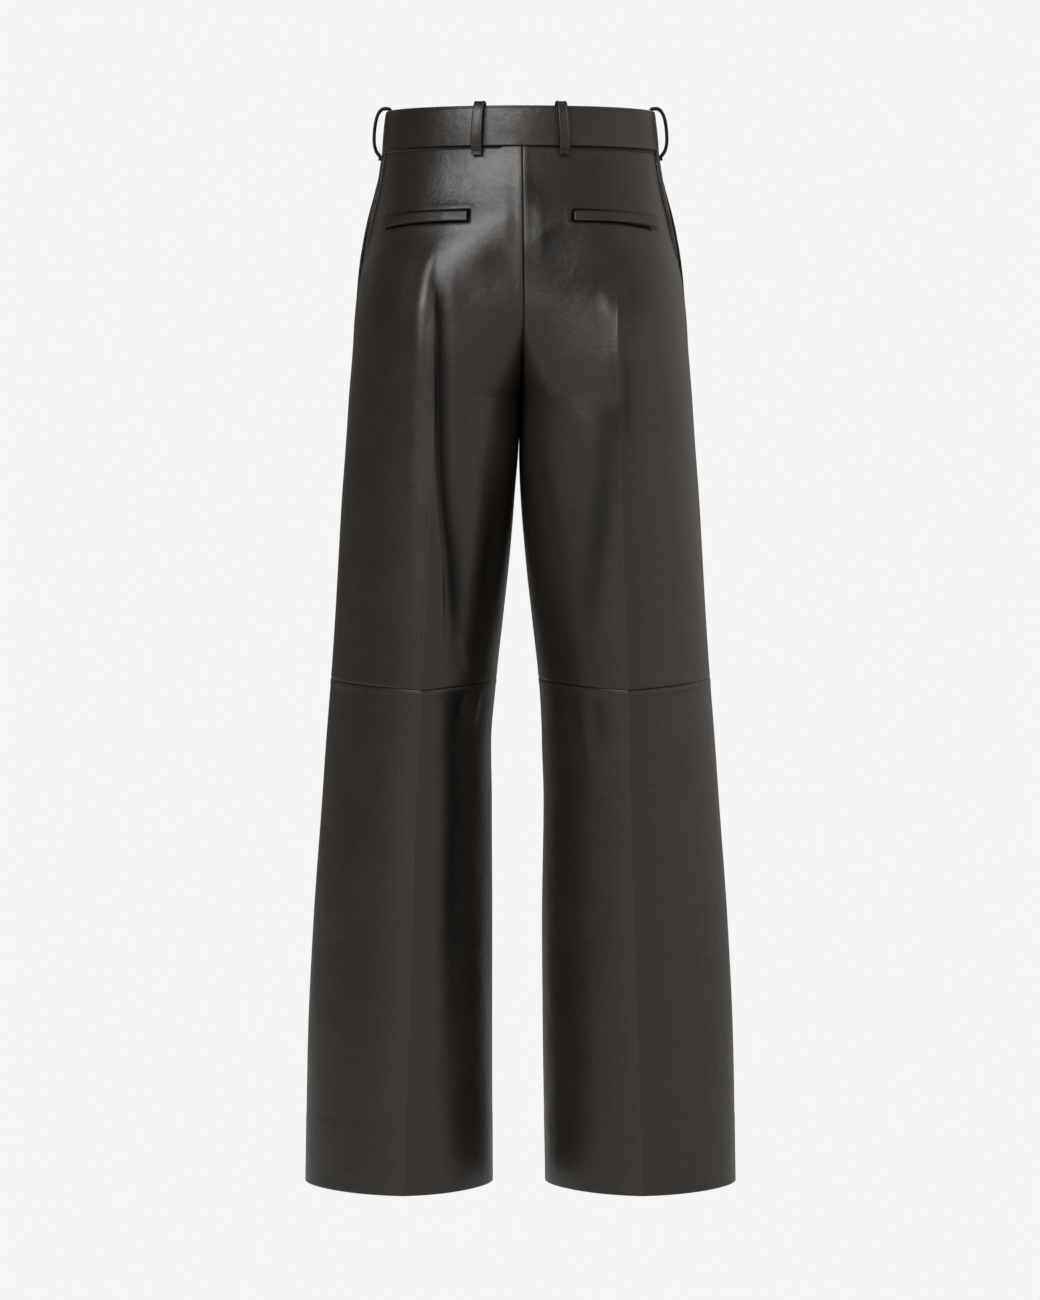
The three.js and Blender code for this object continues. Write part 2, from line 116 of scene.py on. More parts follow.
def addRoom():
    tone = studio["paperTone"]
    world = bpy.data.worlds.new("room")
    world.use_nodes = True
    nodes, links = world.node_tree.nodes, world.node_tree.links
    unlit = nodes["Background"]
    towards = nodes.new("ShaderNodeTexCoord")
    split = nodes.new("ShaderNodeSeparateXYZ")
    links.new(towards.outputs["Generated"], split.inputs[0])
    back = nodes.new("ShaderNodeMath")
    back.operation = "MULTIPLY"
    back.inputs[1].default_value = -1.0
    links.new(split.outputs["Y"], back.inputs[0])
    angle = nodes.new("ShaderNodeMath")
    angle.operation = "ARCTAN2"
    links.new(split.outputs["X"], angle.inputs[0])
    links.new(back.outputs[0], angle.inputs[1])
    turned = nodes.new("ShaderNodeMapRange")
    turned.inputs["From Min"].default_value = -math.pi
    turned.inputs["From Max"].default_value = math.pi
    links.new(angle.outputs[0], turned.inputs["Value"])
    blend = nodes.new("ShaderNodeMix")
    blend.data_type = "RGBA"
    for slotNumber, part in ((6, "room"), (7, "roomAbove")):
        marks = [((degrees + 180) / 360, tuple(bright * warm for warm in studio["roomWarmth"]))
                 for degrees, bright in studio[part]]
        ramp = fillRamp(nodes, marks)
        links.new(turned.outputs["Result"], ramp.inputs["Fac"])
        links.new(ramp.outputs["Color"], blend.inputs[slotNumber])
    rise = nodes.new("ShaderNodeMapRange")
    rise.inputs["From Min"].default_value = studio["aboveFrom"]
    rise.inputs["From Max"].default_value = studio["aboveTo"]
    links.new(split.outputs["Z"], rise.inputs["Value"])
    links.new(rise.outputs["Result"], blend.inputs[0])
    tall = nodes.new("ShaderNodeMapRange")
    tall.inputs["From Min"].default_value = -1.0
    links.new(split.outputs["Z"], tall.inputs["Value"])
    level = fillRamp(nodes, [((sine + 1) / 2, (bright,) * 3) for sine, bright in studio["roomHeights"]])
    links.new(tall.outputs["Result"], level.inputs["Fac"])
    links.new(blend.outputs[2], unlit.inputs["Color"])
    links.new(level.outputs["Color"], unlit.inputs["Strength"])
    paper = nodes.new("ShaderNodeBackground")
    paper.inputs["Color"].default_value = (tone, tone, tone, 1.0)
    path = nodes.new("ShaderNodeLightPath")
    pick = nodes.new("ShaderNodeMixShader")
    links.new(path.outputs["Is Camera Ray"], pick.inputs["Fac"])
    links.new(unlit.outputs["Background"], pick.inputs[1])
    links.new(paper.outputs["Background"], pick.inputs[2])
    links.new(pick.outputs["Shader"], nodes["World Output"].inputs["Surface"])
    bpy.context.scene.world = world

    # a pale floor that fades into the paper behind
    material = bpy.data.materials.new("studioFloor")
    material.use_nodes = True
    nodes, links = material.node_tree.nodes, material.node_tree.links
    matt = nodes["Principled BSDF"]
    matt.inputs["Base Color"].default_value = (studio["floorTone"],) * 3 + (1.0,)
    matt.inputs["Roughness"].default_value = studio["floorRoughness"]
    matt.inputs["Specular IOR Level"].default_value = studio["floorShine"]
    glow = nodes.new("ShaderNodeEmission")
    glow.inputs["Color"].default_value = (tone, tone, tone, 1.0)
    place = nodes.new("ShaderNodeTexCoord")
    away = nodes.new("ShaderNodeVectorMath")
    away.operation = "LENGTH"
    fade = nodes.new("ShaderNodeMapRange")
    fade.interpolation_type = "SMOOTHSTEP"
    fade.inputs["From Min"].default_value = studio["floorFade"][0] * mm
    fade.inputs["From Max"].default_value = studio["floorFade"][1] * mm
    path = nodes.new("ShaderNodeLightPath")
    seen = nodes.new("ShaderNodeMath")
    seen.operation = "MULTIPLY"
    pick = nodes.new("ShaderNodeMixShader")
    links.new(place.outputs["Object"], away.inputs[0])
    links.new(away.outputs["Value"], fade.inputs["Value"])
    links.new(fade.outputs["Result"], seen.inputs[0])
    links.new(path.outputs["Is Camera Ray"], seen.inputs[1])
    links.new(seen.outputs["Value"], pick.inputs["Fac"])
    links.new(matt.outputs["BSDF"], pick.inputs[1])
    links.new(glow.outputs["Emission"], pick.inputs[2])
    links.new(pick.outputs["Shader"], nodes["Material Output"].inputs["Surface"])

    reach = studio["floorReach"] * mm
    mesh = bpy.data.meshes.new("studioFloor")
    mesh.from_pydata([(-reach, -reach, 0), (reach, -reach, 0), (reach, reach, 0), (-reach, reach, 0)],
                     [], [(0, 1, 2, 3)])
    mesh.materials.append(material)
    floor = bpy.data.objects.new("studioFloor", mesh)
    bpy.context.collection.objects.link(floor)
    floor.location = (0.0, 0.0, studio["floorHeight"] * mm)


addCamera()
addRoom()
addSoftbox("key")
addSoftbox("far")
bpy.context.scene.view_settings.view_transform = "Standard"
print("studio ready")

# The form of the trousers, as the solids have it

cut = {
    "bandHeight": 40.0, "bandThick": 3.0, "clothThick": 1.5,
    "kneeSeam": -543.0, "kneeDip": 8.5, "kneeReach": 130.0, "hem": -1050.0,
    "forkTop": -172.0, "crotch": -262.0, "forkPower": 0.78,
    "creaseShare": 0.5, "lensPower": 1.8, "ridgeWidth": 15.0, "pressPower": 0.62,
    # the band's ends at the centre front: how far they lap, stand out and in, and over what length
    "lap": 38.0, "lift": 2.0, "drop": 3.6, "hold": 26.0, "run": 26.0, "lapFrom": -0.25,
    "mouthTop": 36.0, "mouthFoot": -172.0, "mouthLift": 2.2, "mouthRoom": 30.0, "facingLap": 14.0,
}
panelTop = -cut["bandHeight"] / 2

levelNames = ["z", "out", "mid", "gap", "crease", "lean", "back", "front",
              "cheek", "dip", "inseam", "seam", "lens", "ridge", "press"]
levelRows = [
    [20, 134, 2, 0, 62, 0, 97, 97, 0, 0, 6, 18, 0, 0, 0],
    [-20, 138, 2, 0, 66, 0, 100, 100, 0, 0, 6, 18, 0, 0, 0],
    [-55, 143.5, 2.2, 0, 72, 1, 106.5, 103, 0.1, 1, 6, 20, 0, 0, 0],
    [-97, 152.5, 2.6, 0, 80, 3, 115.5, 107, 0.35, 3, 6, 21, 0, 0.3, 0],
    [-142, 160.5, 3, 0, 87, 5, 123.5, 110.5, 0.7, 6, 6, 20, 0, 1.6, 0],
    [-187, 165.5, 3.2, 0, 89, 5.4, 127.5, 112.5, 0.95, 9, 6, 13, 0, 2.6, 0.8],
    [-217, 167.3, 2.2, 0, 89, 5.4, 127, 113, 1, 10, 6, 8, 0, 3, 0.85],
    [-262, 171, 0.2, 0, 89, 5.4, 123.5, 113.5, 1, 10, 6, 2, 0, 3, 0.85],
    [-307, 174, -1.5, 0.3, 90, 5.2, 120, 113.5, 1, 10, 6, 0, 0.05, 3, 0.8],
    [-367, 178.5, -3, 3.5, 92.5, 4.8, 117, 113, 1, 10, 5, 0, 0.12, 3, 0.62],
    [-427, 182, -3, 8.5, 95.5, 4.4, 114, 112, 1, 10, 4, 0, 0.18, 3, 0.45],
    [-487, 185.5, -3, 15, 98, 4.1, 112, 110.5, 1, 10, 3, 0, 0.24, 3, 0.28],
    [-547, 189.7, -3, 21.5, 101, 3.9, 110, 109, 1, 10, 2, 0, 0.28, 2.8, 0.14],
    [-607, 194.5, -4, 25.5, 103, 2.6, 108.5, 108, 1, 10, 2, 0, 0.3, 2.6, 0.05],
    [-667, 198.7, -2.8, 26, 105, 1.8, 107.5, 107, 1, 10, 1, 0, 0.32, 2.4, 0],
    [-787, 207.5, -3.4, 25, 109, 1.9, 106, 106, 1, 10, 1, 0, 0.34, 2.2, 0],
    [-907, 213.3, -3, 25.5, 113, 2, 105.5, 105, 1, 10, 1, 0, 0.35, 2, 0],
    [-1050, 216, -1.5, 26.5, 117.5, 2, 105, 104.5, 1, 10, 1, 0, 0.35, 1.8, 0],
]
levelTable = np.array(levelRows, dtype=float)[::-1]  # lowest first


def columnCurve(name):
    z = levelTable[:, 0]
    v = levelTable[:, levelNames.index(name)]
    step = np.diff(z)
    slope = np.diff(v) / step
    tangent = np.zeros(len(z))
    tangent[0], tangent[-1] = slope[0], slope[-1]
    for i in range(1, len(z) - 1):
        if slope[i - 1] * slope[i] > 0:
            near = 2 * step[i] + step[i - 1]
            far = step[i] + 2 * step[i - 1]
            tangent[i] = (near + far) / (near / slope[i - 1] + far / slope[i])

    def curve(height):
        h = np.clip(height, z[0], z[-1])
        i = np.clip(np.searchsorted(z, h, side="right") - 1, 0, len(z) - 2)
        s = (h - z[i]) / step[i]
        rise = s * s * (3 - 2 * s)
        return (v[i] + (v[i + 1] - v[i]) * rise
                + step[i] * (s * (1 - s) ** 2 * tangent[i] - s * s * (1 - s) * tangent[i + 1]))

    return curve


curves = {name: columnCurve(name) for name in levelNames[1:]}


def mix(a, b, share):
    return a + (b - a) * share


def ease(share):
    s = np.clip(share, 0.0, 1.0)
    return s * s * (3 - 2 * s)


def bell(value, place, width):
    return np.exp(-((value - place) / width) ** 2)


def forkAt(z):
    above = np.clip((z - cut["crotch"]) / (cut["forkTop"] - cut["crotch"]), 0.0, 1.0)
    return 1 - (above * (2 - above)) ** cut["forkPower"]


# A point of the outer face. side is 1 on the wearer's right and -1 on the left. q is 0 at the widest
# point, 1 at the centre-back seam or the inseam behind, and -1 at the same seam in front. The centre
# seams are drawn shut, where the solids keep a gap.
def ringPoint(side, q, z):
    q, z = np.broadcast_arrays(np.asarray(q, float), np.asarray(z, float))
    level = {name: curve(z) for name, curve in curves.items()}
    fork = forkAt(z)
    way = np.where(q < 0, 1.0, -1.0)
    t = np.abs(q)
    depth = np.where(q < 0, level["front"], level["back"])
    creaseX = level["crease"] + side * level["lean"]
    innerX = side * level["mid"] + level["gap"]
    reach = level["out"] - innerX
    creaseAngle = np.arccos((creaseX - innerX) / reach)
    half = cut["creaseShare"]
    outer = t < half
    share = np.where(outer, t / half, (t - half) / (1 - half))

    bend = np.where(outer, creaseAngle * share, mix(creaseAngle, np.pi / 2, share))
    ovalX = innerX + reach * np.cos(bend)
    ovalY = way * depth * np.sin(bend)

    turn = np.where(outer, share, 1 - share) * (np.pi / 2)
    away = np.clip(np.cos(turn), 0.0, 1.0)
    arch = np.clip(mix(np.sin(turn), 1 - away ** cut["lensPower"], level["lens"]), 0.0, 1.0)
    swell = np.where(outer, arch, arch ** (1 - cut["pressPower"] * level["press"]))
    cheekX = creaseX + np.where(outer, level["out"] - creaseX, innerX - creaseX) * away
    legY = np.where(outer, way * depth * swell, mix(level["inseam"], way * depth, swell))
    seatY = np.where(outer, legY, way * (depth - level["dip"] * away ** 2))
    cheekY = mix(seatY, legY, fork)

    x = mix(ovalX, cheekX, level["cheek"])
    ridge = level["ridge"] * np.exp(-np.abs(x - creaseX) / cut["ridgeWidth"])
    y = mix(ovalY, cheekY, level["cheek"]) + way * ridge
    return np.stack([side * x, y, z], axis=-1)


def outwardAt(side, q, z):
    probe = 0.004
    q, z = np.broadcast_arrays(np.asarray(q, float), np.asarray(z, float))
    closed = forkAt(z) >= 1

    def wrapped(value):
        ends = np.where(closed, value - 2 * np.sign(value), np.sign(value))
        return np.where(np.abs(value) > 1, ends, value)

    along = ringPoint(side, wrapped(q + probe), z) - ringPoint(side, wrapped(q - probe), z)
    normal = np.stack([-along[..., 1], along[..., 0], np.zeros(q.shape)], axis=-1) * side
    return normal / np.linalg.norm(normal, axis=-1, keepdims=True)


def offsetPoint(side, q, z, distance):
    return ringPoint(side, q, z) + outwardAt(side, q, z) * np.asarray(distance, float)[..., None]


fineSteps = 240


# Lengths along one half of the section at even steps of q, a row for each height.
def halfLengths(side, half, heights):
    q = half * np.linspace(0, 1, fineSteps + 1)[None, :]
    points = ringPoint(side, q, np.asarray(heights, float)[:, None])
    steps = np.linalg.norm(np.diff(points, axis=1), axis=-1)
    return np.concatenate([np.zeros((len(heights), 1)), np.cumsum(steps, axis=1)], axis=1)


# q at signed distances from the widest point (a row for each height): to the back where positive.
def qAtDistance(side, heights, distances):
    q = np.zeros(distances.shape)
    shares = np.linspace(0, 1, fineSteps + 1)
    for half in (1, -1):
        lengths = halfLengths(side, half, heights)
        for i in range(len(heights)):
            found = half * np.interp(np.abs(distances[i]), lengths[i], shares)
            q[i] = np.where(np.sign(distances[i]) * half >= 0, found, q[i])
    return q


def qAtX(side, half, z, x):
    shares = np.linspace(0, 1, fineSteps + 1)
    across = ringPoint(side, half * shares, z)[:, 0] * side
    return half * np.interp(x, across[::-1], shares[::-1])


def seamAt(z):
    return curves["seam"](z)


def alongMouth(z):
    return np.clip((z - cut["mouthFoot"]) / (panelTop - cut["mouthFoot"]), 0.0, 1.0)


def mouthAt(z):
    return cut["mouthTop"] * alongMouth(z)


# How far the front stands out (or in) at the band, where its right end lies over its left end.
def lapOffset(side, q, z):
    fromEnd = np.abs(ringPoint(side, q, z)[..., 0] - curves["mid"](z))
    near = np.where(q < cut["lapFrom"], 1 - ease((fromEnd - cut["hold"]) / cut["run"]), 0.0)
    return near * (cut["lift"] if side == 1 else -cut["drop"])


def bentHeight(z, q):
    nearKnee = np.clip(1 - np.abs(z - cut["kneeSeam"]) / cut["kneeReach"], 0.0, 1.0)
    nearCrease = np.clip(1 - np.abs(np.abs(q) - 0.5) / 0.5, 0.0, 1.0)
    return z - cut["kneeDip"] * nearKnee * nearCrease


print("form ready")

# Making meshes


def meshObject(name, points, faces, materials, faceMaterials=None, flatFaces=None, layers=None, uv=None):
    mesh = bpy.data.meshes.new(name)
    points = np.asarray(points, float) * mm
    faces = np.asarray(faces, np.int32)
    sides = faces.shape[1]
    mesh.vertices.add(len(points))
    mesh.vertices.foreach_set("co", points.astype(np.float32).ravel())
    mesh.loops.add(faces.size)
    mesh.loops.foreach_set("vertex_index", faces.ravel())
    mesh.polygons.add(len(faces))
    mesh.polygons.foreach_set("loop_start", np.arange(0, faces.size, sides, dtype=np.int32))
    if faceMaterials is not None:
        mesh.polygons.foreach_set("material_index", np.asarray(faceMaterials, np.int32))
    smooth = np.ones(len(faces), bool) if flatFaces is None else ~np.asarray(flatFaces, bool)
    mesh.polygons.foreach_set("use_smooth", smooth)
    for key, values in (layers or {}).items():
        layer = mesh.attributes.new(key, "FLOAT", "POINT")
        layer.data.foreach_set("value", np.asarray(values, np.float32).ravel())
    if uv is not None:
        mapped = mesh.uv_layers.new(name="cloth")
        mapped.data.foreach_set("uv", (np.asarray(uv)[faces.ravel()] * mm).astype(np.float32).ravel())
    for material in materials:
        mesh.materials.append(material)
    mesh.update(calc_edges=True)
    mesh.validate()
    piece = bpy.data.objects.new(name, mesh)
    bpy.context.collection.objects.link(piece)
    return piece


# Faces of a closed wall between two grids of rows x columns, outer points first, then the inner ones.
def wallFaces(rows, columns):
    index = np.arange(rows * columns).reshape(rows, columns)
    inner = index + rows * columns
    a, b, c, d = index[:-1, :-1], index[1:, :-1], index[1:, 1:], index[:-1, 1:]
    outerFaces = np.stack([a, b, c, d], -1).reshape(-1, 4)
    a, b, c, d = inner[:-1, :-1], inner[:-1, 1:], inner[1:, 1:], inner[1:, :-1]
    innerFaces = np.stack([a, b, c, d], -1).reshape(-1, 4)
    rims = []
    for line, wall, flip in (
        (index[0, :], inner[0, :], False),
        (index[-1, :], inner[-1, :], True),
        (index[:, 0], inner[:, 0], True),
        (index[:, -1], inner[:, -1], False),
    ):
        rim = np.stack([line[:-1], line[1:], wall[1:], wall[:-1]], -1)
        rims.append(rim[:, ::-1] if flip else rim)
    rimFaces = np.concatenate(rims)
    faces = np.concatenate([outerFaces, innerFaces, rimFaces])
    kinds = np.repeat([0, 1, 2], [len(outerFaces), len(innerFaces), len(rimFaces)])
    return faces, kinds


def signedVolume(points, faces):
    p = np.asarray(points, float)
    total = 0.0
    for i in range(1, faces.shape[1] - 1):
        total += np.einsum("ij,ij->i", p[faces[:, 0]], np.cross(p[faces[:, i]], p[faces[:, i + 1]])).sum()
    return total


def outwardFaces(points, faces):
    return faces[:, ::-1] if signedVolume(points, faces) < 0 else faces


# Normals of a grid of points, pointing the way of the given rough directions.
def gridNormals(points, rough):
    down = np.gradient(points, axis=0)
    across = np.gradient(points, axis=1)
    normal = np.cross(down, across)
    normal /= np.maximum(np.linalg.norm(normal, axis=-1, keepdims=True), 1e-9)
    flip = np.sign((normal * rough).sum(-1, keepdims=True))
    return normal * np.where(flip == 0, 1.0, flip)


# Steps over a stretch, close together at both of its ends.
def spacedSteps(length, fine, coarse, growth=0.2):
    values = [0.0]
    while values[-1] < length:
        near = min(values[-1], length - values[-1])
        values.append(values[-1] + min(coarse, fine + growth * near))
    return np.array(values) * (length / values[-1])


# A fixed soft unevenness in millimetres-scale waves, from a few sines in set directions.
def softNoise(a, b, wave, seed):
    rng = np.random.default_rng(seed)
    total = 0.0
    for _ in range(5):
        angle = rng.uniform(0, 2 * np.pi)
        long = wave * rng.uniform(0.7, 1.6)
        total = total + np.sin((a * np.cos(angle) + b * np.sin(angle)) * 2 * np.pi / long
                               + rng.uniform(0, 2 * np.pi))
    return total / 5


def taken(piece, nodes):
    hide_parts(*nodes)
    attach(piece, "root")
    return piece


# Folds, placed one by one: a line of (distance from the middle, height) on one side and half, how far the
# cloth stands out (or in) along it, how wide each flank is, over which share of it each end fades, and
# how much painted shade darkens the colour along a hollow.
folds = [
    # fullest line of each buttock, from the centre seam down to the crease
    {"side": -1, "half": 1, "x": [(2, -92), (24, -96), (46, -108), (62, -124), (76, -146)],
     "height": 5.2, "wide": 30, "narrow": 32, "ends": (0, 0.5)},
    {"side": 1, "half": 1, "x": [(2, -92), (30, -97), (62, -105), (92, -117), (120, -136)],
     "height": 6.0, "wide": 32, "narrow": 52, "ends": (0, 0.5)},
    # painted shade below the left buttock's fullest line
    {"side": -1, "half": 1, "x": [(8, -124), (36, -134), (54, -152), (64, -176), (68, -205)],
     "height": -0.3, "wide": 20, "narrow": 13, "ends": (0.1, 0.4), "paintedShade": 0.45},
    {"side": -1, "half": 1, "x": [(83, -134), (85, -150), (88, -168)],
     "height": -0.2, "wide": 9, "narrow": 8, "ends": (0.4, 0.5), "paintedShade": 0.45},
    # left buttock: from below the pocket down beside the crease
    {"side": -1, "half": 1, "x": [(85, -112), (89, -134), (93, -156), (96.5, -180),
                                  (98.5, -214), (101, -262), (103, -330), (104.5, -400), (104, -460)],
     "height": 2.3, "wide": 6.5, "narrow": 10, "ends": (0.12, 0.5)},
    # the hollow beside it, on the inner side of the left crease, and painted shade along its floor
    {"side": -1, "half": 1, "x": [(80, -170), (79, -210), (78.5, -268), (77.5, -346), (72.5, -424),
                                  (71, -482), (74, -560)],
     "height": -2.8, "wide": 9, "narrow": 4.5, "ends": (0.3, 0.3)},
    {"side": -1, "half": 1, "x": [(79, -142), (78.5, -190), (78, -268), (75.5, -346), (72, -385), (67, -424),
                                  (64.5, -482), (66, -560)],
     "height": -1.6, "wide": 9, "narrow": 6, "ends": (0.08, 0.2), "paintedShade": 0.85},
    {"side": -1, "half": 1, "x": [(48, -250), (46, -310), (46, -380), (50, -440), (53, -480)],
     "height": 2.4, "wide": 17, "narrow": 14, "ends": (0.4, 0.4)},
    {"side": -1, "half": 1, "x": [(22, -330), (27, -380), (36, -440), (44, -510), (52, -600)],
     "height": -0.6, "wide": 10, "narrow": 10, "ends": (0.4, 0.5), "paintedShade": 0.4},
    # right buttock: flatter than the left one, with a low ridge that runs into the crease
    # painted shade dulls the right buttock beside the centre seam and below its fullest line
    {"side": 1, "half": 1, "x": [(8, -36), (11, -66), (14, -96), (18, -126)],
     "height": -0.2, "wide": 12, "narrow": 12, "ends": (0.3, 0.4), "paintedShade": 0.55},
    {"side": 1, "half": 1, "x": [(14, -104), (32, -132), (50, -160), (64, -190)],
     "height": 0.3, "wide": 26, "narrow": 30, "ends": (0.1, 0.4), "paintedShade": 0.62},
    {"side": 1, "half": 1, "x": [(92, -105), (94, -145), (94.4, -195), (94.4, -240)],
     "height": -2.2, "wide": 15, "narrow": 19, "ends": (0.4, 0.3)},
    {"side": 1, "half": 1, "x": [(78, -150), (86, -175), (91, -205), (94, -245), (96, -290)],
     "height": 1.5, "wide": 12, "narrow": 7, "ends": (0.4, 0.4)},
    # painted shade in the hollows from the fork down the right thigh and beside its crease
    {"side": 1, "half": 1, "x": [(93, -262), (88, -285), (82, -320), (78, -370), (72, -420),
                                 (66, -480), (62, -560)],
     "height": -1.7, "wide": 12, "narrow": 13, "ends": (0.2, 0.5), "paintedShade": 0.5},
    {"side": 1, "half": 1, "x": [(99.5, -200), (102.5, -240), (104, -290), (104, -340)],
     "height": -1.2, "wide": 5, "narrow": 5, "ends": (0.4, 0.5), "paintedShade": 0.3},
    # slack at the fork, drawn from the crotch out over each thigh
    {"side": 1, "half": 1, "x": [(22, -240), (44, -275), (64, -300), (80, -345)],
     "height": 1.4, "wide": 18, "narrow": 14, "ends": (0.3, 0.5)},
    {"side": 1, "half": 1, "x": [(8, -285), (22, -360), (38, -430), (52, -510)],
     "height": -0.9, "wide": 14, "narrow": 11, "ends": (0.3, 0.5)},
    # above and below the knee seam, on the inner side
    {"side": -1, "half": 1, "x": [(64, -500), (54, -520), (45, -535)],
     "height": 1.5, "wide": 8, "narrow": 6, "ends": (0.5, 0.2)},
    {"side": -1, "half": 1, "x": [(40, -552), (46, -575), (50, -600)],
     "height": 1.3, "wide": 7, "narrow": 6, "ends": (0.2, 0.5)},
    {"side": -1, "half": 1, "x": [(54, -551), (59, -570), (61, -590)],
     "height": -1.1, "wide": 7, "narrow": 6, "ends": (0.2, 0.5), "paintedShade": 0.3},
    {"side": 1, "half": 1, "x": [(58, -551), (63, -590), (74, -650)],
     "height": 1.1, "wide": 9, "narrow": 7, "ends": (0.2, 0.5)},
    {"side": 1, "half": 1, "x": [(72, -551), (78, -585), (80, -620)],
     "height": -0.9, "wide": 8, "narrow": 7, "ends": (0.2, 0.5), "paintedShade": 0.2},
    # long soft streaks down the lower legs, with painted shade along the left one's inner streak
    {"side": -1, "half": 1, "x": [(67, -545), (67, -650), (68, -800), (69, -960)],
     "height": -1.0, "wide": 14, "narrow": 14, "ends": (0.05, 0.4), "paintedShade": 0.62},
    {"side": 1, "half": 1, "x": [(150, -600), (158, -700), (160, -820)],
     "height": -0.7, "wide": 18, "narrow": 14, "ends": (0.4, 0.4)},
    {"side": -1, "half": 1, "x": [(140, -420), (148, -520), (150, -640)],
     "height": 0.8, "wide": 18, "narrow": 14, "ends": (0.4, 0.4)},
    # the front: drawn from the crotch up over each hip, slack above the knees, streaks below them
    {"side": -1, "half": -1, "x": [(10, -236), (38, -214), (70, -200), (104, -196)],
     "height": 2.0, "wide": 12, "narrow": 9, "ends": (0.25, 0.5)},
    {"side": 1, "half": -1, "x": [(12, -228), (44, -208), (80, -190), (112, -186)],
     "height": 1.7, "wide": 13, "narrow": 9, "ends": (0.25, 0.5)},
    {"side": -1, "half": -1, "x": [(14, -256), (40, -262), (66, -280), (84, -312)],
     "height": 1.6, "wide": 11, "narrow": 10, "ends": (0.25, 0.5)},
    {"side": 1, "half": -1, "x": [(12, -252), (36, -256), (60, -270), (82, -300)],
     "height": 1.9, "wide": 12, "narrow": 9, "ends": (0.25, 0.5)},
    # painted shade in the hollows below the fork and beside the front creases
    {"side": -1, "half": -1, "x": [(10, -290), (28, -350), (46, -420), (58, -500)],
     "height": -1.5, "wide": 13, "narrow": 11, "ends": (0.3, 0.5), "paintedShade": 0.3},
    {"side": 1, "half": -1, "x": [(12, -285), (30, -340), (44, -410), (52, -480)],
     "height": -1.3, "wide": 13, "narrow": 12, "ends": (0.3, 0.5), "paintedShade": 0.3},
    {"side": -1, "half": -1, "x": [(82, -220), (84, -290), (86, -370), (84, -440)],
     "height": -1.8, "wide": 8, "narrow": 6, "ends": (0.4, 0.4), "paintedShade": 0.3},
    {"side": 1, "half": -1, "x": [(88, -240), (90, -320), (92, -400), (94, -460)],
     "height": -1.5, "wide": 8, "narrow": 7, "ends": (0.4, 0.4), "paintedShade": 0.3},
    {"side": -1, "half": -1, "x": [(60, -505), (80, -522), (112, -530)],
     "height": 1.2, "wide": 8, "narrow": 6, "ends": (0.4, 0.4)},
    {"side": 1, "half": -1, "x": [(64, -512), (92, -526), (124, -532)],
     "height": 1.1, "wide": 8, "narrow": 6, "ends": (0.4, 0.4)},
    {"side": -1, "half": -1, "x": [(130, -590), (140, -690), (148, -820)],
     "height": -0.9, "wide": 16, "narrow": 13, "ends": (0.4, 0.4)},
    {"side": 1, "half": -1, "x": [(66, -600), (72, -700), (76, -840)],
     "height": -1.0, "wide": 14, "narrow": 12, "ends": (0.4, 0.4)},
]


def foldLine(fold):
    marks = np.array(fold["x"], float)
    share = np.linspace(0, len(marks) - 1, 12 * (len(marks) - 1) + 1)
    knots = np.arange(len(marks))
    smooth = np.stack([np.interp(share, knots, marks[:, i]) for i in range(2)], -1)
    for _ in range(12):  # rounds the corners
        smooth[1:-1] = (smooth[:-2] + 2 * smooth[1:-1] + smooth[2:]) / 4
    points = []
    for x, z in smooth:
        points.append(ringPoint(fold["side"], qAtX(fold["side"], fold["half"], z, x), z))
    return np.array(points)


# How far the folds lift the cloth at each point, and how much painted shade darkens its colour there.
def foldRelief(points, normals, side):
    flat = points.reshape(-1, 3)
    up = normals.reshape(-1, 3)
    total = np.zeros(len(flat))
    paintedShade = np.zeros(len(flat))
    for fold in folds:
        if fold["side"] != side:
            continue
        line = foldLine(fold)
        reach = 2.6 * max(fold["wide"], fold["narrow"])
        low, high = line.min(0) - reach, line.max(0) + reach
        near = np.flatnonzero(((flat > low) & (flat < high)).all(1))
        if not len(near):
            continue
        p, n = flat[near], up[near]
        start, run = line[:-1], np.diff(line, axis=0)
        size = (run ** 2).sum(1)
        t = np.clip(np.einsum("ijk,jk->ij", p[:, None] - start[None], run) / size, 0, 1)
        gap = p[:, None] - (start[None] + t[..., None] * run[None])
        far = np.linalg.norm(gap, axis=-1)
        best = far.argmin(1)
        pick = np.arange(len(p))
        distance = far[pick, best]
        along = (best + t[pick, best]) / len(run)
        sign = np.einsum("ij,ij->i", np.cross(run[best], gap[pick, best]), n)
        width = np.where(sign > 0, fold["wide"], fold["narrow"])
        grow, die = fold["ends"]
        fade = (ease(along / grow) if grow else 1.0) * ease((1 - along) / die)
        shape = fade * bell(distance, 0, width)
        total[near] += fold["height"] * shape
        paintedShade[near] += fold.get("paintedShade", 0.0) * shape
    return total.reshape(points.shape[:2]), paintedShade.reshape(points.shape[:2])


print("folds ready")

# The eight panels of the legs

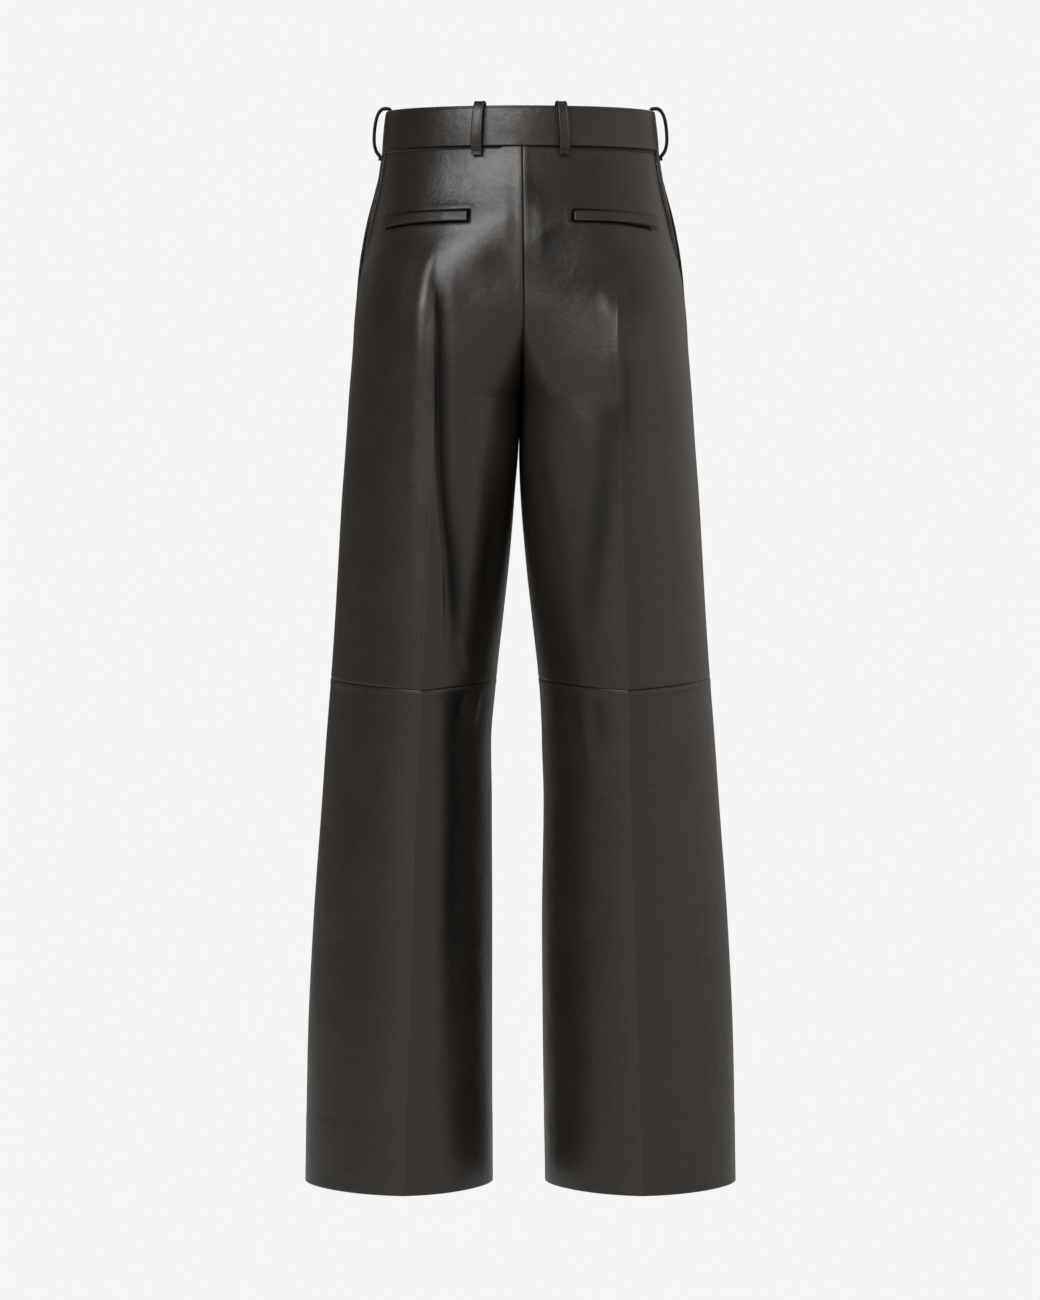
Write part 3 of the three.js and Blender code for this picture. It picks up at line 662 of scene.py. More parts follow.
panel = {
    "coarse": 3.4, "fine": 0.45, "keptRun": 12.0,  # facets mid-panel, at the seams, and how far in from them
    "rollRadius": 1.7, "rollDepth": 1.15,  # how the leather turns in at a seam
    "lipHeight": 0.2, "lipPlace": 4.2, "lipWidth": 2.6,
    "pucker": 0.16, "puckerRun": 9.0, "puckerWaves": (11.0, 23.0, 90.0),
    "creasePinch": 0.55, "creaseWidth": 2.4,
    "creaseTop": -150.0, "creaseRun": 60.0,  # the pressed crease fades out over the seat
    "softReach": 15.0, "softWidth": 26.0, "softLimit": 60.0,
    "lapRun": 16.0,                  # how far down the front follows the band's lap
    # painted shade along the seams, and how much wider it is below the waistband (topShade)
    "seamShade": 0.9, "seamShadeWidth": 0.75, "topShade": 3.2,
    "foldKeep": 0.55, "foldRun": 20.0,  # what is left of a fold at a seam
    "keel": 3.0, "keelRun": 26.0,    # the centre-back seam stands out a little at the waist
    "keelFoot": -95.0, "keelFade": 60.0,
    "hemFold": 68.0, "hemMark": 0.18, "hemDitch": 0.12, "hemThick": 1.3,
    "loose": 0.55,                   # unevenness of the cloth between its seams
    "looseAcross": 25.0, "looseDown": 20.0,
}

pocket = {
    "inner": 51.0, "outer": 134.0, "middle": -88.0, "height": 10.5, "thick": 1.7,
    "slope": 5.2, "bend": 4.0,       # how far the outer end droops, and how late
    "sunk": 1.3, "endRound": 1.6, "waves": 0.14,
    "ditch": 1.1, "ditchWidth": 1.3, "puff": 0.45, "puffPlace": 4.5, "puffWidth": 3.0,
    # painted shade round the welt, wider above it than below
    "paintedShade": 1.0, "shadeAbove": 1.7, "shadeBelow": 0.8,
    "row": 0.8,                      # facets of the panel by the welt
}

pocketMouth = {
    "openBy": 0.04, "rollRadius": 1.3, "rollDepth": 1.1,
    "lineDepth": 0.25, "linePlace": 5.5, "waves": 0.14, "waveLength": 16.0, "waveRun": 9.0,
}

# how far the leather is rubbed lighter at its edges, and where from the edge
rubbed = {
    "crease": 1.6, "creaseWidth": 0.8, "edge": 0.6, "seamPlace": 2.0, "seamWidth": 1.1,
    "kneePlace": 3.0, "kneeWidth": 1.6, "footPlace": 1.2, "footWidth": 1.2,
}


def roll(distance, radius, depth):
    inside = np.clip(1 - distance / radius, 0, 1)
    return -depth * (1 - np.sqrt(np.clip(1 - inside ** 2, 0, 1)))


def seamRelief(distance, along, seed, lip=1.0, pucker=1.0, turn=1.0):
    short, long, slow = panel["puckerWaves"]
    relief = turn * roll(distance, panel["rollRadius"], panel["rollDepth"])
    relief = relief + lip * panel["lipHeight"] * bell(distance, panel["lipPlace"], panel["lipWidth"])
    waves = softNoise(along, distance * 0.25, short, seed)
    waves = waves + 0.7 * softNoise(along, distance * 0.2, long, seed + 1)
    strength = 0.5 + 0.5 * softNoise(along, distance * 0, slow, seed + 2)
    return relief + pucker * panel["pucker"] * waves * strength * np.exp(-distance / panel["puckerRun"])


# How far along and across the welt's strip a point of the back lies.
def weltPlace(side, points):
    x = points[..., 0] * side
    across = (x - pocket["inner"]) / (pocket["outer"] - pocket["inner"])
    middle = pocket["middle"] - pocket["slope"] * np.clip(across, 0, 1) ** pocket["bend"]
    return x, points[..., 2] - middle


# Columns at the same steps in every row, stretched between edge, crease and centre seam.
def panelColumns(side, half, heights, edges, outerSteps, innerSteps):
    lengths = halfLengths(side, half, heights)
    rows = []
    keep = panel["keptRun"]
    for i in range(len(heights)):
        crease = lengths[i, int(fineSteps * cut["creaseShare"])]
        end = lengths[i, -1]
        edge = half * edges[i]
        spans = []
        for steps, start, stop in ((outerSteps, edge, crease), (innerSteps, crease, end)):
            total = steps[-1]
            spans.append(start + np.interp(steps, [0, keep, total - keep, total],
                                           [0, keep, stop - start - keep, stop - start]))
        rows.append(half * np.concatenate([spans[0], spans[1][1:]]))
    return np.array(rows), len(outerSteps) - 1


# Rounds off the section by the crease where no crease is pressed: a mean over near columns.
def softenCrease(points, distances, fromCrease, amount):
    row = distances[len(distances) // 2]
    spread = bell(row[:, None], row[None, :], panel["softReach"]) * np.abs(np.gradient(row))[None, :]
    spread /= spread.sum(1, keepdims=True)
    soft = np.einsum("ab,rbk->rak", spread, points)
    share = amount * bell(fromCrease, 0, panel["softWidth"]) * (fromCrease < panel["softLimit"])
    return mix(points, soft, share[..., None])


# The same steps with finer ones between start and stop.
def withFine(steps, start, stop, size):
    kept = steps[(steps < start) | (steps > stop)]
    return np.sort(np.concatenate([kept, np.arange(start, stop, size)]))


def buildPanel(name, side, half, top, foot, edgeAt, seed, mouth=False):
    upper = top > cut["kneeSeam"]
    hasWelt = half == 1 and upper
    rowSteps = spacedSteps(top - foot, panel["fine"], panel["coarse"] * 1.15)
    if hasWelt:
        welt = top - pocket["middle"]
        reach = 0.5 * pocket["height"]
        rowSteps = withFine(rowSteps, welt - reach - 4, welt + reach + 7, pocket["row"])
    heights = top - rowSteps
    middleRow = (top + foot) / 2
    lengths = halfLengths(side, half, [middleRow])[0]
    edge = half * edgeAt(np.array([middleRow]))[0]
    crease = lengths[int(fineSteps * cut["creaseShare"])]
    outerSteps = spacedSteps(crease - edge, panel["fine"], panel["coarse"])
    innerSteps = spacedSteps(lengths[-1] - crease, panel["fine"], panel["coarse"])
    if hasWelt:
        creaseX = float(curves["crease"](pocket["middle"])) + side * float(curves["lean"](pocket["middle"]))
        end = creaseX - pocket["inner"]
        innerSteps = withFine(innerSteps, end - 5, end + 7, 1.2 * pocket["row"])
    distances, creaseColumn = panelColumns(side, half, heights, edgeAt(heights), outerSteps, innerSteps)

    q = qAtDistance(side, heights, distances)
    z = bentHeight(heights[:, None], q)
    rough = outwardAt(side, q, z)
    points = ringPoint(side, q, z)
    down = np.broadcast_to(heights[:, None], q.shape)
    fromEdge = np.abs(distances - distances[:, :1])
    fromEnd = np.abs(distances - distances[:, -1:])
    fromCrease = np.abs(distances - distances[:, creaseColumn:creaseColumn + 1])
    pressed = ease((panel["creaseTop"] - down) / panel["creaseRun"]) * np.clip(curves["cheek"](down), 0, 1)
    points = softenCrease(points, distances, fromCrease, 1 - pressed)
    normals = gridNormals(points, rough)
    fromTop = top - down
    fromFoot = down - foot

    relief = np.zeros(q.shape)
    # painted shade along the seams, darkening the colour where the leather turns in
    nearSeam = np.minimum(np.minimum(fromEdge, fromEnd), fromTop / (panel["topShade"] if upper else 1.0))
    paintedShade = panel["seamShade"] * bell(nearSeam, 0, panel["seamShadeWidth"])
    if mouth:
        slit = alongMouth(down)
        lift = cut["mouthLift"] * np.sin(np.pi * slit) * (1 - ease(fromEdge / cut["mouthRoom"]))
        waves = pocketMouth["waves"] * softNoise(down, fromEdge * 0.3, pocketMouth["waveLength"], seed + 40)
        turned = roll(fromEdge, pocketMouth["rollRadius"], pocketMouth["rollDepth"])
        turned -= pocketMouth["lineDepth"] * bell(fromEdge, pocketMouth["linePlace"], 1.0)
        turned += waves * np.exp(-fromEdge / pocketMouth["waveRun"])
        isOpen = ease(slit / pocketMouth["openBy"])
        relief += lift + mix(seamRelief(fromEdge, down, seed), turned, isOpen)
    else:
        relief += seamRelief(fromEdge, down, seed)
    relief += seamRelief(fromEnd, down, seed + 10, lip=1.15)
    if upper:
        relief += seamRelief(fromTop, distances, seed + 20, lip=0.4, pucker=0.6)
        relief += lapOffset(side, q, z) * (1 - ease(fromTop / panel["lapRun"]))
        relief += seamRelief(fromFoot, distances, seed + 30, lip=0.5, pucker=1.1, turn=0.4)
    else:
        relief += seamRelief(fromTop, distances, seed + 33, lip=1.6, pucker=1.1, turn=0.5)
        relief += roll(fromFoot, 1.6, 0.8)
        aboveHem = fromFoot - panel["hemFold"]
        relief += panel["hemMark"] * (1 - ease(aboveHem / 3.0))
        relief -= panel["hemDitch"] * bell(aboveHem, 1.5, 2.0)

    relief += pressed * panel["creasePinch"] * np.exp(-fromCrease / panel["creaseWidth"])
    if hasWelt:
        keel = panel["keel"] * (1 - ease((panel["keelFoot"] - down) / panel["keelFade"]))
        relief -= keel * (1 - np.exp(-fromEnd / panel["keelRun"]))
        x, height = weltPlace(side, points)
        beyondX = np.maximum(pocket["inner"] - x, x - pocket["outer"])
        beyondZ = np.abs(height) - pocket["height"] / 2
        outside = np.hypot(np.clip(beyondX, 0, None), np.clip(beyondZ, 0, None)) + np.clip(
            np.maximum(beyondX, beyondZ), None, 0)
        relief -= pocket["ditch"] * bell(outside, 0, pocket["ditchWidth"])
        relief += pocket["puff"] * bell(outside, pocket["puffPlace"], pocket["puffWidth"])
        # painted shade round the welt: a thick dark line above it, a thin one below
        width = np.where(height > 0, pocket["shadeAbove"], pocket["shadeBelow"])
        paintedShade = np.maximum(paintedShade, pocket["paintedShade"] * bell(outside, 0, width))

    room = ease(fromEdge / panel["looseAcross"]) * ease(fromEnd / panel["looseAcross"])
    room *= ease(fromTop / panel["looseDown"]) * ease(fromFoot / panel["looseDown"])
    relief += room * panel["loose"] * (0.9 * softNoise(distances, down * 0.35, 75.0, seed + 50)
                                       + 0.35 * softNoise(distances, down * 0.6, 30.0, seed + 51))
    folded, hollow = foldRelief(points, normals, side)
    relief += folded * mix(panel["foldKeep"], 1.0, ease(np.minimum(fromEnd, fromEdge) / panel["foldRun"]))
    paintedShade = np.clip(paintedShade + hollow, 0, 1)

    outer = points + normals * relief[..., None]
    # above the crotch the centre seam is drawn shut
    shut = ease((down - cut["crotch"]) / 6 + 1) * np.clip(1 - fromEnd / 1.2, 0, 1)
    seamX = curves["mid"](down) - side * 0.25
    outer[..., 0] = mix(outer[..., 0], seamX, shut)
    thick = np.full(q.shape, cut["clothThick"])
    if not upper:
        thick += panel["hemThick"] * (1 - ease((fromFoot - panel["hemFold"]) / 2.5))
    inner = points + normals * (relief - thick)[..., None]
    # where the outer face turns in at a seam, the inner face stays flat
    turned = roll(fromEdge, panel["rollRadius"], panel["rollDepth"])
    turned = turned + roll(fromEnd, panel["rollRadius"], panel["rollDepth"])
    inner += normals * np.clip(-turned, 0, 1.2)[..., None]
    faces, kinds = wallFaces(*q.shape)
    allPoints = np.concatenate([outer.reshape(-1, 3), inner.reshape(-1, 3)])
    faces = outwardFaces(allPoints, faces)
    uv = np.stack([distances, down], -1).reshape(-1, 2)
    wear = rubbed["crease"] * pressed * np.exp(-fromCrease / rubbed["creaseWidth"])
    wear += rubbed["edge"] * bell(fromEdge, rubbed["seamPlace"], rubbed["seamWidth"])
    wear += rubbed["edge"] * bell(fromEnd, rubbed["seamPlace"], rubbed["seamWidth"])
    if not upper:
        wear += rubbed["edge"] * bell(fromTop, rubbed["kneePlace"], rubbed["kneeWidth"])
    wear += rubbed["edge"] * bell(fromFoot, rubbed["footPlace"], rubbed["footWidth"])
    wear = np.concatenate([wear.ravel(), np.zeros(wear.size)])
    paintedShade = np.concatenate([paintedShade.ravel(), np.zeros(paintedShade.size)])
    piece = meshObject(name, allPoints, faces, [leather, suede], np.where(kinds == 1, 1, 0), kinds == 2,
                       {"wear": np.clip(wear, 0, 1.5), "paintedShade": paintedShade}, np.concatenate([uv, uv]))
    widths = np.abs(distances[:, -1] - distances[:, 0])
    area = float((np.diff(-heights) * (widths[1:] + widths[:-1]) / 2).sum())
    return piece, (float(widths.max()), top - foot, area)


# Leather, suede, tape, thread and metal

finish = {
    "leatherDark": (0.0155, 0.0130, 0.0112, 1.0), "leatherLight": (0.026, 0.022, 0.019, 1.0),
    "leatherGloss": 0.29, "grainSize": 1.1, "grainDepth": 0.035,
    "suedeDark": (0.035, 0.030, 0.027, 1.0), "suedeLight": (0.065, 0.056, 0.050, 1.0),
    "patches": 0.8, "worn": 0.55, "toneShift": 0.15,        # what makes the colour lighter
    # painted shade: how dark the colour goes and how much of the reflection Metallic takes away under the
    # shade mask
    "paintedShadeColour": 0.25, "paintedShadeDull": 0.92,
    "glossPatches": 0.12, "glossSpots": 0.12, "glossPores": 0.05,
    "trimGloss": 0.02, "trimGrain": 0.8,
    "insideGloss": 0.88, "insideDepth": 0.10, "insideGrain": 0.7, "insideSheen": 0.15,
    "tape": (0.010, 0.010, 0.011, 1.0),
    "thread": (0.012, 0.011, 0.010, 1.0),
    "metal": (0.42, 0.41, 0.39, 1.0),
}


def newGroup(name, inputs, outputs):
    group = bpy.data.node_groups.new(name, "ShaderNodeTree")
    for label, kind, value in inputs:
        socket = group.interface.new_socket(name=label, in_out="INPUT", socket_type=kind)
        if value is not None:
            socket.default_value = value
    for label, kind in outputs:
        group.interface.new_socket(name=label, in_out="OUTPUT", socket_type=kind)
    return group, group.nodes.new("NodeGroupInput"), group.nodes.new("NodeGroupOutput")


def mathNode(nodes, links, operation, first, second):
    node = nodes.new("ShaderNodeMath")
    node.operation = operation
    for slotNumber, value in enumerate((first, second)):
        if isinstance(value, (int, float)):
            node.inputs[slotNumber].default_value = value
        else:
            links.new(value, node.inputs[slotNumber])
    return node.outputs[0]


def mathMakers(nodes, links):
    def times(first, second):
        return mathNode(nodes, links, "MULTIPLY", first, second)

    def plus(first, second):
        return mathNode(nodes, links, "ADD", first, second)

    return times, plus


# Pebbled grain of smooth leather: fine cells with pores between them, and softer unevenness over them.
def makeGrainGroup():
    group, given, result = newGroup(
        "leatherGrain",
        [("Cell Size", "NodeSocketFloat", 1.0), ("Depth", "NodeSocketFloat", 0.04),
         ("Softness", "NodeSocketFloat", 0.5), ("Mottle", "NodeSocketFloat", 0.22),
         ("Unevenness", "NodeSocketFloat", 1.5)],
        [("Height", "NodeSocketFloat"), ("Pores", "NodeSocketFloat"), ("Patches", "NodeSocketFloat"),
         ("Spots", "NodeSocketFloat")],
    )
    nodes, links = group.nodes, group.links
    times, plus = mathMakers(nodes, links)
    place = nodes.new("ShaderNodeTexCoord")
    scale = mathNode(nodes, links, "DIVIDE", 1000.0, given.outputs["Cell Size"])
    warp = nodes.new("ShaderNodeTexNoise")
    warp.inputs["Scale"].default_value = 240.0
    warp.inputs["Detail"].default_value = 2.0
    links.new(place.outputs["Object"], warp.inputs["Vector"])
    push = nodes.new("ShaderNodeVectorMath")
    push.operation = "SCALE"
    push.inputs["Scale"].default_value = 0.0012
    links.new(warp.outputs["Color"], push.inputs[0])
    moved = nodes.new("ShaderNodeVectorMath")
    moved.operation = "ADD"
    links.new(place.outputs["Object"], moved.inputs[0])
    links.new(push.outputs["Vector"], moved.inputs[1])
    cells = nodes.new("ShaderNodeTexVoronoi")
    cells.feature = "DISTANCE_TO_EDGE"
    links.new(moved.outputs["Vector"], cells.inputs["Vector"])
    links.new(scale, cells.inputs["Scale"])
    domed = nodes.new("ShaderNodeMapRange")
    domed.interpolation_type = "SMOOTHSTEP"
    domed.inputs["From Max"].default_value = 0.28
    links.new(cells.outputs["Distance"], domed.inputs["Value"])
    fine = nodes.new("ShaderNodeTexNoise")
    fine.inputs["Detail"].default_value = 3.0
    links.new(place.outputs["Object"], fine.inputs["Vector"])
    links.new(times(scale, 0.45), fine.inputs["Scale"])
    broad = nodes.new("ShaderNodeTexNoise")
    broad.inputs["Scale"].default_value = 14.0
    broad.inputs["Detail"].default_value = 4.0
    broad.inputs["Roughness"].default_value = 0.55
    links.new(place.outputs["Object"], broad.inputs["Vector"])
    mottle = nodes.new("ShaderNodeTexNoise")
    mottle.inputs["Scale"].default_value = 150.0
    mottle.inputs["Detail"].default_value = 3.0
    links.new(place.outputs["Object"], mottle.inputs["Vector"])
    height = plus(domed.outputs["Result"], times(fine.outputs["Fac"], given.outputs["Softness"]))
    deep = times(height, given.outputs["Depth"])
    deep = plus(deep, times(mottle.outputs["Fac"], given.outputs["Mottle"]))
    deep = plus(deep, times(broad.outputs["Fac"], given.outputs["Unevenness"]))
    links.new(times(deep, mm), result.inputs["Height"])
    links.new(mathNode(nodes, links, "SUBTRACT", 1.0, domed.outputs["Result"]), result.inputs["Pores"])
    links.new(broad.outputs["Fac"], result.inputs["Patches"])
    links.new(mottle.outputs["Fac"], result.inputs["Spots"])
    return group


grainGroup = makeGrainGroup()


def makeLeather(name, dark, light, gloss, depth, cell):
    material = bpy.data.materials.new(name)
    material.use_nodes = True
    nodes, links = material.node_tree.nodes, material.node_tree.links
    times, plus = mathMakers(nodes, links)
    shader = nodes["Principled BSDF"]
    grain = nodes.new("ShaderNodeGroup")
    grain.node_tree = grainGroup
    grain.inputs["Cell Size"].default_value = cell
    grain.inputs["Depth"].default_value = depth
    grain.inputs["Softness"].default_value = 0.8
    wear = nodes.new("ShaderNodeAttribute")
    wear.attribute_name = "wear"
    tone = nodes.new("ShaderNodeMix")
    tone.data_type = "RGBA"
    tone.inputs[6].default_value = dark
    tone.inputs[7].default_value = light
    patches, spots, pores = (grain.outputs[label] for label in ("Patches", "Spots", "Pores"))
    share = plus(times(patches, finish["patches"]), times(wear.outputs["Fac"], finish["worn"]))
    links.new(plus(share, -finish["toneShift"]), tone.inputs[0])
    # painted shade: where the shade mask is set the colour darkens, and Metallic lets the reflection fall to
    # that dark colour
    paintedShade = nodes.new("ShaderNodeAttribute")
    paintedShade.attribute_name = "paintedShade"
    deep = nodes.new("ShaderNodeMix")
    deep.data_type = "RGBA"
    deep.inputs[7].default_value = tuple(c * finish["paintedShadeColour"] for c in dark[:3]) + (1.0,)
    links.new(paintedShade.outputs["Fac"], deep.inputs[0])
    links.new(tone.outputs[2], deep.inputs[6])
    links.new(deep.outputs[2], shader.inputs["Base Color"])
    links.new(times(paintedShade.outputs["Fac"], finish["paintedShadeDull"]), shader.inputs["Metallic"])
    rough = plus(times(patches, finish["glossPatches"]), gloss - finish["glossPatches"])
    rough = plus(rough, times(spots, finish["glossSpots"]))
    rough = plus(rough, times(pores, finish["glossPores"]))
    links.new(rough, shader.inputs["Roughness"])
    bump = nodes.new("ShaderNodeBump")
    bump.inputs["Strength"].default_value = 1.0
    bump.inputs["Distance"].default_value = 1.0
    links.new(grain.outputs["Height"], bump.inputs["Height"])
    links.new(bump.outputs["Normal"], shader.inputs["Normal"])
    return material


leather = makeLeather("blackLeather", finish["leatherDark"], finish["leatherLight"],
                      finish["leatherGloss"], finish["grainDepth"], finish["grainSize"])
trimLeather = makeLeather("blackLeatherTrim", finish["leatherDark"], finish["leatherLight"],
                          finish["leatherGloss"] + finish["trimGloss"], finish["grainDepth"],
                          finish["trimGrain"])
suede = makeLeather("leatherInside", finish["suedeDark"], finish["suedeLight"],
                    finish["insideGloss"], finish["insideDepth"], finish["insideGrain"])
suede.node_tree.nodes["Principled BSDF"].inputs["Sheen Weight"].default_value = finish["insideSheen"]
print("materials ready")

panelPlan = [
    ("Upper", panelTop + 1.0, cut["kneeSeam"]),
    ("Lower", cut["kneeSeam"], cut["hem"]),
]


def mouthEdge(z):
    return seamAt(z) - mouthAt(z)


for side, sideName in ((-1, "left"), (1, "right")):
    for half, halfName in ((1, "back"), (-1, "front")):
        for level, top, foot in panelPlan:
            isUpper = level == "Upper"
            mouth = isUpper and half == -1
            node = (halfName if isUpper else "lower_" + halfName) + "_" + sideName
            seed = 100 * (half + 2) + 10 * (side + 2) + (1 if isUpper else 2)
            piece, sizes = buildPanel(
                halfName + level + "Leg" + sideName.capitalize(), side, half, top, foot,
                mouthEdge if mouth else seamAt, seed, mouth)
            taken(piece, [node])
            width, length, area = sizes
            print(piece.name, len(piece.data.polygons), "faces", [round(v) for v in sizes])

# Swept pieces: waistband, belt loops and pocket welts


# A closed skin over rings of points, each ring a closed section, with a fan over both ends.
def sweepPiece(name, rings, materials, layers):
    rings = np.asarray(rings, float)
    count, size = rings.shape[:2]
    index = np.arange(count * size).reshape(count, size)
    following = np.roll(index, -1, axis=1)
    quads = np.stack([index[:-1], following[:-1], following[1:], index[1:]], -1).reshape(-1, 4)
    centres = np.stack([rings[0].mean(0), rings[-1].mean(0)])
    points = np.concatenate([rings.reshape(-1, 3), centres])
    first, last = count * size, count * size + 1
    startCap = np.stack([following[0], index[0], np.full(size, first), np.full(size, first)], -1)
    endCap = np.stack([index[-1], following[-1], np.full(size, last), np.full(size, last)], -1)
    triangles = np.concatenate([quads[:, [0, 1, 2]], quads[:, [0, 2, 3]], startCap[:, :3], endCap[:, :3]])
    flat = np.repeat([False, True], [2 * len(quads), 2 * size])
    triangles = outwardFaces(points, triangles)
    full = {key: np.concatenate([np.asarray(v, float).ravel(), [0.0, 0.0]]) for key, v in layers.items()}
    return meshObject(name, points, triangles, materials, None, flat, full)


band = {
    "step": 2.2, "topSteps": 9,
    "topRound": 1.5, "lineBelowTop": 2.6, "lineDepth": 0.28, "lineWidth": 0.45,
    "footRoll": 1.8, "footDepth": 0.75, "lip": 2.6, "lipDepth": 1.65,
    "waves": 0.42, "waveLength": 46.0, "puckers": 0.16, "puckerLength": 15.0, "puckerRun": 9.0,
    # shadeWidth: how far up from the band's foot the painted shade reaches
    "crown": 0.5, "shadeWidth": 1.1, "topWear": 0.7,
    "girthPoint": 20,                # the section's point along which the strip's length is measured
}


def bandProfile():
    half = cut["bandHeight"] / 2
    thick = cut["bandThick"]
    r = band["topRound"]
    # over the folded top edge, outside to inside
    over = [(r * (1 + np.cos(a)), half - r + r * np.sin(a)) for a in np.linspace(np.pi, 0, band["topSteps"])]
    inside = [(thick, z) for z in np.linspace(half - 4, -half - band["lip"] + 0.6, 8)]
    # the inner layer's folded edge hangs a little lower, behind the tops of the legs
    lip = [(thick - 0.2, -half - band["lip"] + 0.1), (thick - 0.6, -half - band["lip"]),
           (band["lipDepth"], -half - band["lip"] + 0.3), (band["lipDepth"] - 0.1, -half - 0.1)]
    foot = [(1.2, -half + 0.05), (0.75, -half + 0.25)]
    face = []
    for z in np.concatenate([np.linspace(-half + 0.6, -half + 3, 6), np.linspace(-half + 5, half - 5, 13),
                             np.linspace(half - 4, half - r - 0.2, 9)]):
        depth = -roll(z + half, band["footRoll"], band["footDepth"])
        depth += band["lineDepth"] * bell(z, half - band["lineBelowTop"], band["lineWidth"])
        depth -= band["crown"] * (1 - (z / half) ** 2)
        face.append((depth, z))
    return np.array(over + inside + lip + foot + face)


def bandStations():
    stations = []
    for side in (1, -1):
        for half in ((-1, 1) if side == 1 else (1, -1)):
            lengths = halfLengths(side, half, [0.0])[0]
            steps = np.linspace(0, lengths[-1], int(lengths[-1] / band["step"]) + 1)
            q = np.interp(steps, lengths, np.linspace(0, 1, fineSteps + 1)) * half
            outward = (side == 1 and half == 1) or (side == -1 and half == -1)
            q = q if outward else q[::-1]
            for value in (q if not stations or side == 1 and half == -1 else q[1:]):
                stations.append((side, value))
    found = []
    for side, q in stations:
        found.append((side, q, float(lapOffset(side, q, 0.0))))
    for x in np.linspace(0.8, cut["lap"], 18):
        found.append((1, float(qAtX(1, -1, 0.0, x + curves["mid"](0.0))), -cut["drop"]))
    return found


def buildWaistband():
    profile = bandProfile()
    half = cut["bandHeight"] / 2
    stations = bandStations()
    rings = []
    along = 0.0
    for side, q, off in stations:
        along += band["step"]
        z = profile[:, 1]
        puckers = band["puckers"] * softNoise(along, z * 0.9, band["puckerLength"], 8)
        uneven = band["waves"] * softNoise(along, z * 0.7, band["waveLength"], 7)
        uneven = uneven * np.clip(1 - (z / half) ** 4, 0, 1)
        uneven = uneven + puckers * np.exp(-(z + half) / band["puckerRun"])
        depth = profile[:, 0]
        shown = np.where(depth < 1.4, 1.0, 0.0)  # the outer layer alone
        rings.append(offsetPoint(side, np.full(len(z), q), z, off - depth + uneven * shown))
    rings = np.array(rings)
    wear = np.zeros(rings.shape[:2])
    wear[:, :band["topSteps"]] = band["topWear"]
    # painted shade along the band's foot, where it meets the tops of the legs
    paintedShade = np.broadcast_to(bell(profile[:, 1], -half, band["shadeWidth"]), rings.shape[:2])
    piece = sweepPiece("waistStrip", rings, [leather], {"wear": wear, "paintedShade": paintedShade})
    taken(piece, ["waistband"])


buildWaistband()

loop = {
    "width": 10.5, "edge": 1.0,      # edge: how round the turned sides are
    "half": 1.55, "middleThick": 1.3, "turned": 0.36, "turnedPlace": 3.9, "turnedWidth": 0.95,
    "steps": 84,
    # the doubled foot, from a share of the strap's length
    "footFrom": 0.9, "footRun": 0.04, "footBlock": 0.8,
    # footShade and edgeShade: painted shade over the doubled foot and along the strap's sides
    "pinch": 0.06, "pinchRun": 0.03, "footShadeFrom": 0.93, "footShadeRun": 0.02, "footShade": 0.5,
    "edgeShade": 0.8, "edgePlace": 5.25, "edgeWidth": 0.5, "wear": 0.5, "wearPlace": 4.6, "wearWidth": 0.7,
    "places": [("Back", 40.5, 1), ("Side", 137.0, 1), ("Front", 66.0, -1)],
}
strapLine = np.array([
    (-4.7, 10), (-4.7, 20), (-4.1, 21.8), (-2.6, 22.8), (0.8, 23.1), (4.2, 22.2), (7.2, 18.8), (9, 12.6),
    (9.7, 4.5), (9.6, -4), (8.6, -12), (6.2, -18.6), (3.3, -22.4), (1.7, -24.2), (1.1, -26.4), (1.0, -28.2),
])


def splinePoints(line, steps):
    last = len(line) - 1
    place = np.linspace(0, last, steps + 1)
    i = np.clip(np.floor(place).astype(int), 0, last - 1)
    t = (place - i)[:, None]
    before, start, end, after = (line[np.clip(i + k, 0, last)] for k in (-1, 0, 1, 2))
    a, b = (end - before) / 2, (after - start) / 2
    cubic = (2 * start - 2 * end + a + b) * t ** 3
    square = (-3 * start + 3 * end - 2 * a - b) * t ** 2
    return cubic + square + a * t + start


def strapSection():
    half = loop["width"] / 2
    edge = loop["edge"]
    outside = np.linspace(half - edge, -half + edge, 17)
    fold = bell(np.abs(outside), loop["turnedPlace"], loop["turnedWidth"])
    rise = loop["middleThick"] + loop["turned"] * fold
    marks = list(zip(outside, rise))
    for angle in (120, 150, 180, 210, 240):
        marks.append((-half + edge + edge * math.cos(math.radians(angle)),
                      loop["half"] * math.sin(math.radians(angle))))
    marks += [(w, -loop["half"]) for w in np.linspace(-half + edge, half - edge, 7)]
    for angle in (-60, -30, 0, 30, 60):
        marks.append((half - edge + edge * math.cos(math.radians(angle)),
                      loop["half"] * math.sin(math.radians(angle))))
    return np.array(marks)


